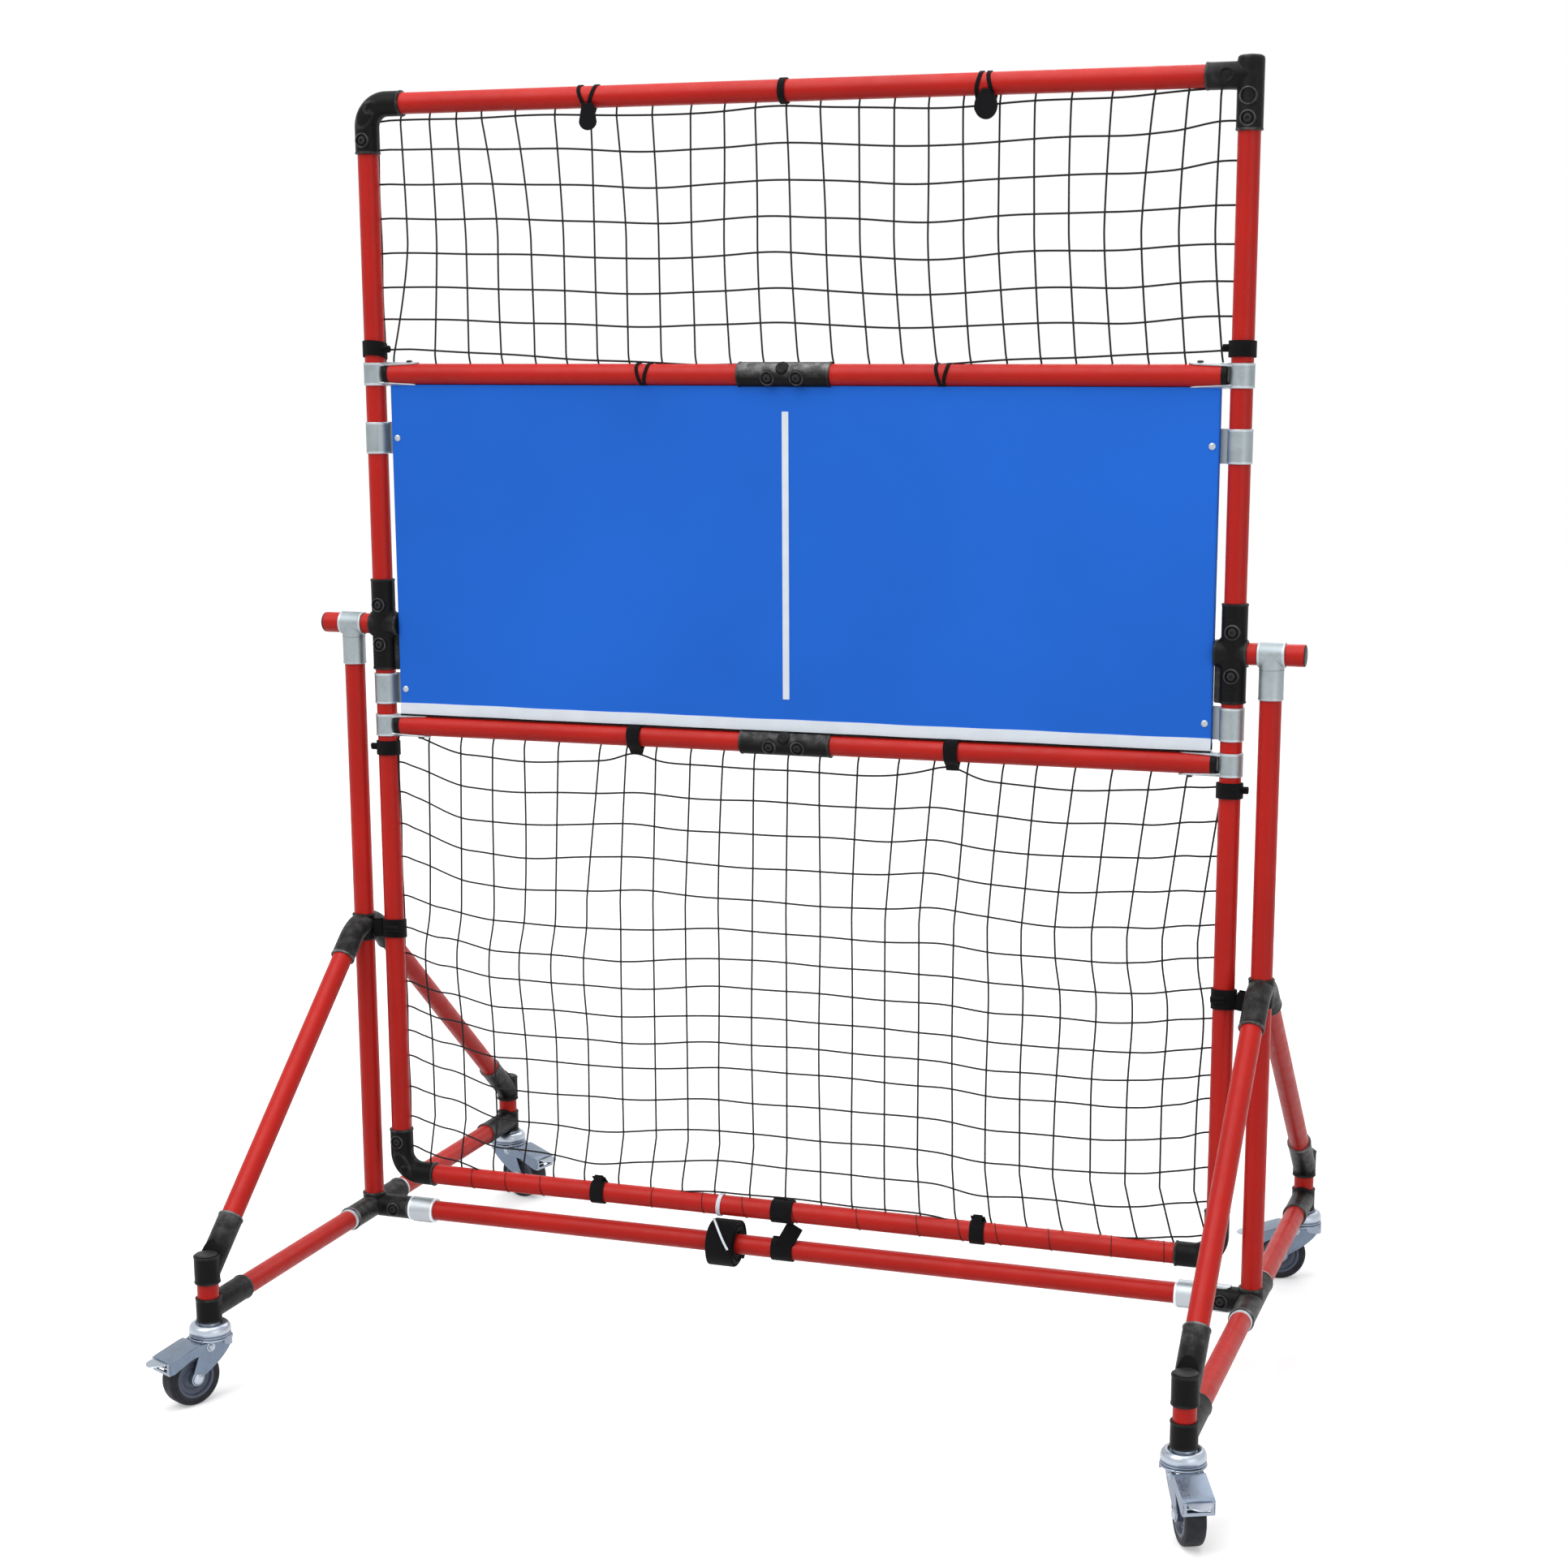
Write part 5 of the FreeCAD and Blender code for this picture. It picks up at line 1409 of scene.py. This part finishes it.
class Caster:
    """A caster's own axes: x runs from the stem to the wheel, y across and z up from the floor."""

    trail, wheel_r = 32.0, 37.5
    rivet_x, rivet_z = 12.0, 76.7
    front_turn, rear_turn = 25.0, -74.0
    leg_face = 16.4

    def __init__(self, sx, sy):
        turn = self.front_turn if sy < 0 else self.rear_turn
        heading = math.radians(-90 + sx * turn)
        c, s = math.cos(heading), math.sin(heading)
        self.turned = np.array([[c, s, 0], [-s, c, 0], [0, 0, 1]])
        self.origin = plan.at(sx * plan.post_x, sy * plan.half_depth, 0)

    def place(self, form):
        """Turns a form from the caster's axes into the frame's."""
        form.points = [points @ self.turned + self.origin for points in form.points]
        return form


def build_stem(form):
    """The stem's cup: plateau, dark ring, round rim and a groove above the fork, with painted highlights on
    the rim, the plateau and the lower edge.
    """
    profile = [
        (86.6, 20.0), (86.6, 25.6), (87.0, 26.6), (88.0, 27.0), (89.2, 26.8), (89.9, 25.6),
        (90.6, 25.6), (91.3, 26.8), (93.0, 27.2), (96.0, 27.0), (98.8, 26.2), (101.2, 24.6),
        (102.8, 22.4), (103.3, 20.4), (103.0, 18.8), (101.6, 17.6), (101.0, 16.2), (101.6, 14.8),
        (103.2, 14.1), (104.5, 13.8), (105.0, 13.0), (105.0, 9.0),
    ]
    # Painted highlights: brightest on the round rim, then the lower edge and the plateau.
    bright = np.array([0.3] * 8 + [0.9] * 7 + [0.1] * 4 + [0.7] * 3)[:, None]
    lathe(form, np.zeros(3), Z, profile, 64, front=X, wear=bright)


def build_fork(form):
    """Fork plate with its rounded edge, two shaped legs, the rear skirt, axle and rivet, with painted
    highlights on the plate, the axle domes and the rivets.
    """
    plate_rows = rounded([(83.1, 8.0), (83.1, 27.0), (84.6, 28.0), (86.1, 27.0), (86.1, 12.0)], 1.2)
    lathe(form, np.zeros(3), Z, plate_rows, 64, front=X, wear=0.5)
    nut = [(77.0, 6.0), (77.6, 8.2), (80.4, 8.8), (83.2, 8.8)]
    lathe(form, np.zeros(3), Z, nut, 6, front=X, wear=0.1)
    t = np.linspace(0, 1, 14)
    axle = np.array([Caster.trail, Caster.wheel_r])
    for s in (-1, 1):
        rear = np.stack([-24.0 + 46.5 * t**1.9, 85.6 - 47.0 * t], -1)
        boss_angle = np.radians(np.linspace(190, 350, 16))
        boss = axle + 9.6 * np.stack([np.cos(boss_angle), np.sin(boss_angle)], -1)
        front = np.stack([41.4 - 17.9 * t**0.8, 39.0 + 46.6 * t], -1)
        ring = np.vstack([rear, boss, front])
        outline = np.stack([ring[:, 0], np.full(len(ring), s * 14.1), ring[:, 1]], -1)
        plate(form, outline, Y * (s * 2.5), bevel=0.6, wear=0.1)
        centre = np.array([Caster.trail, s * Caster.leg_face, Caster.wheel_r])
        rim = [(-1.0, 9.4), (0.5, 9.2), (1.1, 8.2), (0.4, 7.4)]
        lathe(form, centre, Y * s, rim, 40, front=X, wear=0.5)
        dome = [(0.0, 7.0), (1.6, 7.0), (2.9, 5.9), (3.8, 3.9), (4.2, 1.5)]
        lathe(form, centre, Y * s, dome, 36, front=X, wear=0.9)
        rivet = np.array([Caster.rivet_x, s * Caster.leg_face, Caster.rivet_z])
        head = [(0.0, 3.5), (3.3, 3.5), (4.3, 2.9), (4.8, 1.2)]
        lathe(form, rivet, Y * s, head, 28, front=X, wear=0.7)
    angle = np.radians(np.linspace(96, 264, 44))
    drop = 4.0 + 9.0 * np.sin(np.linspace(0, math.pi, 44)) ** 0.7
    out = np.stack([np.cos(angle), np.sin(angle), np.zeros(44)], -1)
    rows = []
    for r, z in ((27.6, 85.4), (27.9, 84.0), (27.9, 0.0), (26.2, 0.0), (26.2, 84.0), (26.2, 85.4)):
        height = z if z else 84.0 - drop
        rows.append(out * r + Z * np.broadcast_to(height, 44)[:, None])
    form.surface(np.array(rows).transpose(1, 0, 2), wear=0.35)


def build_wheel(tyre, hub):
    """A rubber tyre with soft shoulders and a ringed hub, both turned about the axle."""
    centre = np.array([Caster.trail, 0, Caster.wheel_r])
    section = [
        (-12.0, 27.0), (-12.5, 29.0), (-12.6, 31.0), (-12.1, 31.4), (-12.1, 32.0), (-12.5, 32.4),
        (-12.2, 34.4), (-11.0, 36.2), (-8.8, 37.2), (-4.0, 37.5), (0.0, 37.5),
    ]
    profile = section + [(-a, r) for a, r in reversed(section[:-1])]
    lathe(tyre, centre, Y, profile, 72, True, X)
    half = [
        (-13.6, 4.0), (-13.6, 8.0), (-13.1, 9.0), (-8.0, 9.6), (-7.4, 11.0), (-7.6, 14.0),
        (-8.8, 15.0), (-8.9, 16.4), (-7.8, 17.4), (-7.6, 20.4), (-8.2, 22.2), (-11.4, 23.2),
        (-12.3, 24.2), (-12.4, 26.0), (-11.8, 27.1),
    ]
    lathe(hub, centre, Y, half + [(-a, r) for a, r in reversed(half)], 72, front=X, wear=0.0)


def pierced(form, across_cuts, down_cuts, solid, fold, thick):
    """A folded sheet with holes: cells of a grid, kept where solid says, mapped by fold and thickened.

    fold(y, s) gives the sheet's outer point and its outward direction. Every kept cell becomes a small
    closed block, and neighbours share their walls.
    """
    for j, keep_row in enumerate(solid):
        for i, keep in enumerate(keep_row):
            if keep:
                ring = [(i, j), (i + 1, j), (i + 1, j + 1), (i, j + 1)]
                outer, inner = [], []
                for a, b in ring:
                    point, out = fold(across_cuts[a], down_cuts[b])
                    outer.append(point)
                    inner.append(point - out * thick)
                form.surface(np.array([inner, outer]), wear=0.5)


def build_pedal(form):
    """The brake pedal: sloping roof, slotted face, two cheeks and a pointed tongue, with painted highlights
    on the tongue and the eyes.
    """
    half, low, face_z, roof_z = 18.9, 53.7, 70.7, 84.4
    y_cuts = (-half, -14.0, 14.0, half)
    z_cuts = (low, 57.7, 61.7, 63.7, 67.7, face_z)
    solid = ((1, 1, 1), (1, 0, 1), (1, 1, 1), (1, 0, 1), (1, 1, 1))
    pierced(form, y_cuts, z_cuts, solid, lambda y, z: (np.array([76.0, y, z]), X), 2.0)
    y = np.linspace(-half, half, 21)
    crown = 1.2 * (1 - (y / half) ** 2)
    path = rounded([(29.5, roof_z), (34.0, roof_z - 0.4), (70.0, 73.4), (76.6, 70.9)], 5.0, 4)
    rows = []
    slope = unit(np.gradient(path, axis=0))
    normal = np.stack([-slope[:, 1], slope[:, 0]], -1)
    normal = normal * np.sign(normal[:, 1:])
    for (x, z), (nx, nz) in zip(path, normal):
        top = np.stack([np.full(21, x), y, z + crown], -1)
        under = top - np.array([nx, 0, nz]) * 1.8
        rows.append(np.vstack([top, under[::-1]]))
    form.surface(np.array(rows), wear=0.2)
    tongue = [(73.0, -15.0), (84.0, -14.4), (91.0, -11.0), (95.0, -5.0), (95.8, 0.0)]
    ring = tongue + [(x, -y_value) for x, y_value in reversed(tongue[:-1])]
    outline = np.array([(x, y_value, 69.0 - 0.02 * (x - 73) ** 1.4) for x, y_value in ring])
    plate(form, outline, Z * 1.6, bevel=0.6, wear=0.7)
    cheek = np.array([
        (4.6, 0, 77.0), (8.0, 0, 82.4), (29.5, 0, 82.8), (76.0, 0, 70.4), (76.0, 0, low), (68.5, 0, low),
        (41.5, 0, 66.7), (12.0, 0, 69.6), (6.0, 0, 72.0),
    ])
    for s in (-1, 1):
        outline = corner_path(cheek, 3.0, 3) + Y * (s * 16.9)
        plate(form, outline, Y * (s * 2.0), bevel=0.5, wear=0.1)
        eye = [(-0.4, 6.4), (0.5, 6.2), (0.9, 5.2), (0.3, 4.2)]
        place = np.array([Caster.rivet_x, s * half, Caster.rivet_z])
        lathe(form, place, Y * s, eye, 32, front=X, wear=0.8)


def build_casters():
    """Four casters: each one's cup on the stand, its fork, wheel and pedal on their own bodies."""
    stems = Form()
    for end, sy in (("front_", -1), ("rear_", 1)):
        for side, sx in (("left", -1), ("right", 1)):
            name, caster = end + side, Caster(sx, sy)
            stem, fork, tyre, hub, pedal = Form(), Form(), Form(), Form(), Form()
            build_stem(stem)
            build_fork(fork)
            build_wheel(tyre, hub)
            build_pedal(pedal)
            stems.take(caster.place(stem))
            for form, label, part, slot, node in (
                (fork, "fork_steel", "swivel", "caster_zinc", "fork"),
                (tyre, "tyre_rubber", "wheel", "wheel_rubber", "tyre"),
                (hub, "hub_rings", "wheel", "hub_grey", "hub"),
                (pedal, "pedal_steel", "brake", "caster_zinc", "pedal"),
            ):
                caster.place(form)
                piece(name + "_" + label, form, name + "_" + part, slot, name + "_caster_" + node)
    piece("stem_cups", stems, "stand", "caster_zinc", "caster_stems")


# Stage


def build_stage():
    """White floor and surroundings, soft lamps from the upper left, and the photograph's camera."""
    scene = bpy.context.scene
    mesh = bpy.data.meshes.new("floor")
    reach = 14.0
    corners = [(-reach, -reach, 0), (reach, -reach, 0), (reach, reach, 0), (-reach, reach, 0)]
    mesh.from_pydata(corners, [], [(0, 1, 2, 3)])
    floor = bpy.data.objects.new("floor", mesh)
    floor.data.materials.append(finish("floor"))
    scene.collection.objects.link(floor)
    world = bpy.data.worlds.new("studio")
    world.use_nodes = True
    tree = world.node_tree
    tree.nodes.clear()
    output = tree.nodes.new("ShaderNodeOutputWorld")
    lit, seen = tree.nodes.new("ShaderNodeBackground"), tree.nodes.new("ShaderNodeBackground")
    lit.inputs["Strength"].default_value = 0.44
    for background in (lit, seen):
        background.inputs["Color"].default_value = (1, 1, 1, 1)
    mix, path = tree.nodes.new("ShaderNodeMixShader"), tree.nodes.new("ShaderNodeLightPath")
    shown = path.outputs["Is Camera Ray"]
    for ray in ("Is Glossy Ray", "Is Transmission Ray"):
        larger = tree.nodes.new("ShaderNodeMath")
        larger.operation = "MAXIMUM"
        tree.links.new(shown, larger.inputs[0])
        tree.links.new(path.outputs[ray], larger.inputs[1])
        shown = larger.outputs[0]
    tree.links.new(shown, mix.inputs[0])
    tree.links.new(lit.outputs[0], mix.inputs[1])
    tree.links.new(seen.outputs[0], mix.inputs[2])
    tree.links.new(mix.outputs[0], output.inputs[0])
    scene.world = world
    lamps = (
        ("key_lamp", (-1.6, -2.9, 4.6), 3.6, 125.0),
        ("top_lamp", (0.0, -0.3, 5.2), 4.0, 115.0),
        ("fill_lamp", (3.4, -2.6, 1.6), 2.6, 26.0),
        ("rim_lamp", (0.5, 3.2, 3.2), 2.2, 40.0),
    )
    target = np.array([0, 0, 0.9])
    for name, place, width, power in lamps:
        lamp = bpy.data.lights.new(name, "AREA")
        lamp.shape = "SQUARE"
        lamp.size = width
        lamp.energy = power
        lamp_object = bpy.data.objects.new(name, lamp)
        back = unit(np.array(place) - target)
        side = unit(np.cross(Z, back))
        turn = Matrix(np.column_stack([side, np.cross(back, side), back]).tolist()).to_4x4()
        lamp_object.matrix_world = Matrix.Translation(place) @ turn
        scene.collection.objects.link(lamp_object)
    pitch, roll, yaw = 0.20223, 0.00133, 0.32526
    spin = Matrix.Rotation(yaw, 3, "Z") @ Matrix.Rotation(-pitch, 3, "X") @ Matrix.Rotation(roll, 3, "Y")
    right, ahead, up = spin.col[0], spin.col[1], spin.col[2]
    frame_side, focal, sensor = 1932.0, 3262.48, 36.0
    centre_px = (1014.24, 1098.86)
    camera = bpy.data.cameras.new("camera")
    camera.sensor_width = sensor
    camera.lens = focal * sensor / frame_side
    camera.shift_x = (frame_side / 2 - centre_px[0]) / frame_side
    camera.shift_y = (centre_px[1] - frame_side / 2) / frame_side
    camera_object = bpy.data.objects.new("camera", camera)
    place = (1.16543, -3.30514 + plan.y * MM, 1.34787)
    columns = Matrix((right, up, -ahead)).transposed().to_4x4()
    camera_object.matrix_world = Matrix.Translation(place) @ columns
    scene.collection.objects.link(camera_object)
    scene.camera = camera_object
    scene.view_settings.view_transform = "Standard"


# Operators, panel and run


class REBOUND_OT_pipes(bpy.types.Operator):
    """Give the pipes their red coat."""

    bl_idname = "rebound.pipes"
    bl_label = "Pipes"

    def execute(self, context):
        dress_pipes()
        return {"FINISHED"}


class REBOUND_OT_joints(bpy.types.Operator):
    """Build the frame's joints, clamps and bolts."""

    bl_idname = "rebound.joints"
    bl_label = "Frame joints and clamps"

    def execute(self, context):
        build_clamps(build_frame_joints())
        return {"FINISHED"}


class REBOUND_OT_board(bpy.types.Operator):
    """Build the board and its white tape."""

    bl_idname = "rebound.board"
    bl_label = "Board"

    def execute(self, context):
        build_board()
        return {"FINISHED"}


class REBOUND_OT_upper_net(bpy.types.Operator):
    """Build the upper net."""

    bl_idname = "rebound.upper_net"
    bl_label = "Upper net"

    def execute(self, context):
        build_upper_net()
        return {"FINISHED"}


class REBOUND_OT_lower_net(bpy.types.Operator):
    """Build the lower net and its lacing."""

    bl_idname = "rebound.lower_net"
    bl_label = "Lower net"

    def execute(self, context):
        build_lower_net()
        return {"FINISHED"}


class REBOUND_OT_straps(bpy.types.Operator):
    """Build the straps of the frame and the stand."""

    bl_idname = "rebound.straps"
    bl_label = "Straps"

    def execute(self, context):
        build_straps()
        return {"FINISHED"}


class REBOUND_OT_stand(bpy.types.Operator):
    """Build the stand's black joints."""

    bl_idname = "rebound.stand"
    bl_label = "Stand joints"

    def execute(self, context):
        build_stand_joints()
        return {"FINISHED"}


class REBOUND_OT_zinc(bpy.types.Operator):
    """Build the stand's zinc pieces."""

    bl_idname = "rebound.zinc"
    bl_label = "Tees and cross clamps"

    def execute(self, context):
        build_zinc_stand()
        return {"FINISHED"}


class REBOUND_OT_caps(bpy.types.Operator):
    """Build the pipe caps."""

    bl_idname = "rebound.caps"
    bl_label = "Caps"

    def execute(self, context):
        build_caps()
        return {"FINISHED"}


class REBOUND_OT_casters(bpy.types.Operator):
    """Build the four casters."""

    bl_idname = "rebound.casters"
    bl_label = "Casters"

    def execute(self, context):
        build_casters()
        return {"FINISHED"}


class REBOUND_OT_stage(bpy.types.Operator):
    """Build the floor, the lamps and the camera."""

    bl_idname = "rebound.stage"
    bl_label = "Stage"

    def execute(self, context):
        build_stage()
        return {"FINISHED"}


OPERATORS = (
    REBOUND_OT_pipes,
    REBOUND_OT_joints,
    REBOUND_OT_board,
    REBOUND_OT_upper_net,
    REBOUND_OT_lower_net,
    REBOUND_OT_straps,
    REBOUND_OT_stand,
    REBOUND_OT_zinc,
    REBOUND_OT_caps,
    REBOUND_OT_casters,
    REBOUND_OT_stage,
)


class REBOUND_PT_panel(bpy.types.Panel):
    """Sizes, colours and building steps of the rebound net."""

    bl_idname = "REBOUND_PT_panel"
    bl_label = "Rebound Net"
    bl_space_type = "VIEW_3D"
    bl_region_type = "UI"
    bl_category = "Rebound Net"

    def draw(self, context):
        for group in (context.scene.net_sizes, context.scene.net_colours):
            box = self.layout.box()
            for name in group.__annotations__:
                box.prop(group, name)
        for step in OPERATORS:
            self.layout.operator(step.bl_idname)


CLASSES = (NetSizes, NetColours) + OPERATORS + (REBOUND_PT_panel,)


def register():
    """Registers the classes and hangs both groups on the scene."""
    for cls in CLASSES:
        bpy.utils.register_class(cls)
    bpy.types.Scene.net_sizes = bpy.props.PointerProperty(type=NetSizes)
    bpy.types.Scene.net_colours = bpy.props.PointerProperty(type=NetColours)


def unregister():
    """Takes back what register did."""
    del bpy.types.Scene.net_colours
    del bpy.types.Scene.net_sizes
    for cls in reversed(CLASSES):
        bpy.utils.unregister_class(cls)


def main():
    """Registers the add-on, then builds every piece and the stage."""
    register()
    for step in OPERATORS:
        getattr(bpy.ops.rebound, step.bl_idname.split(".")[1])()


if __name__ == "__main__":
    main()
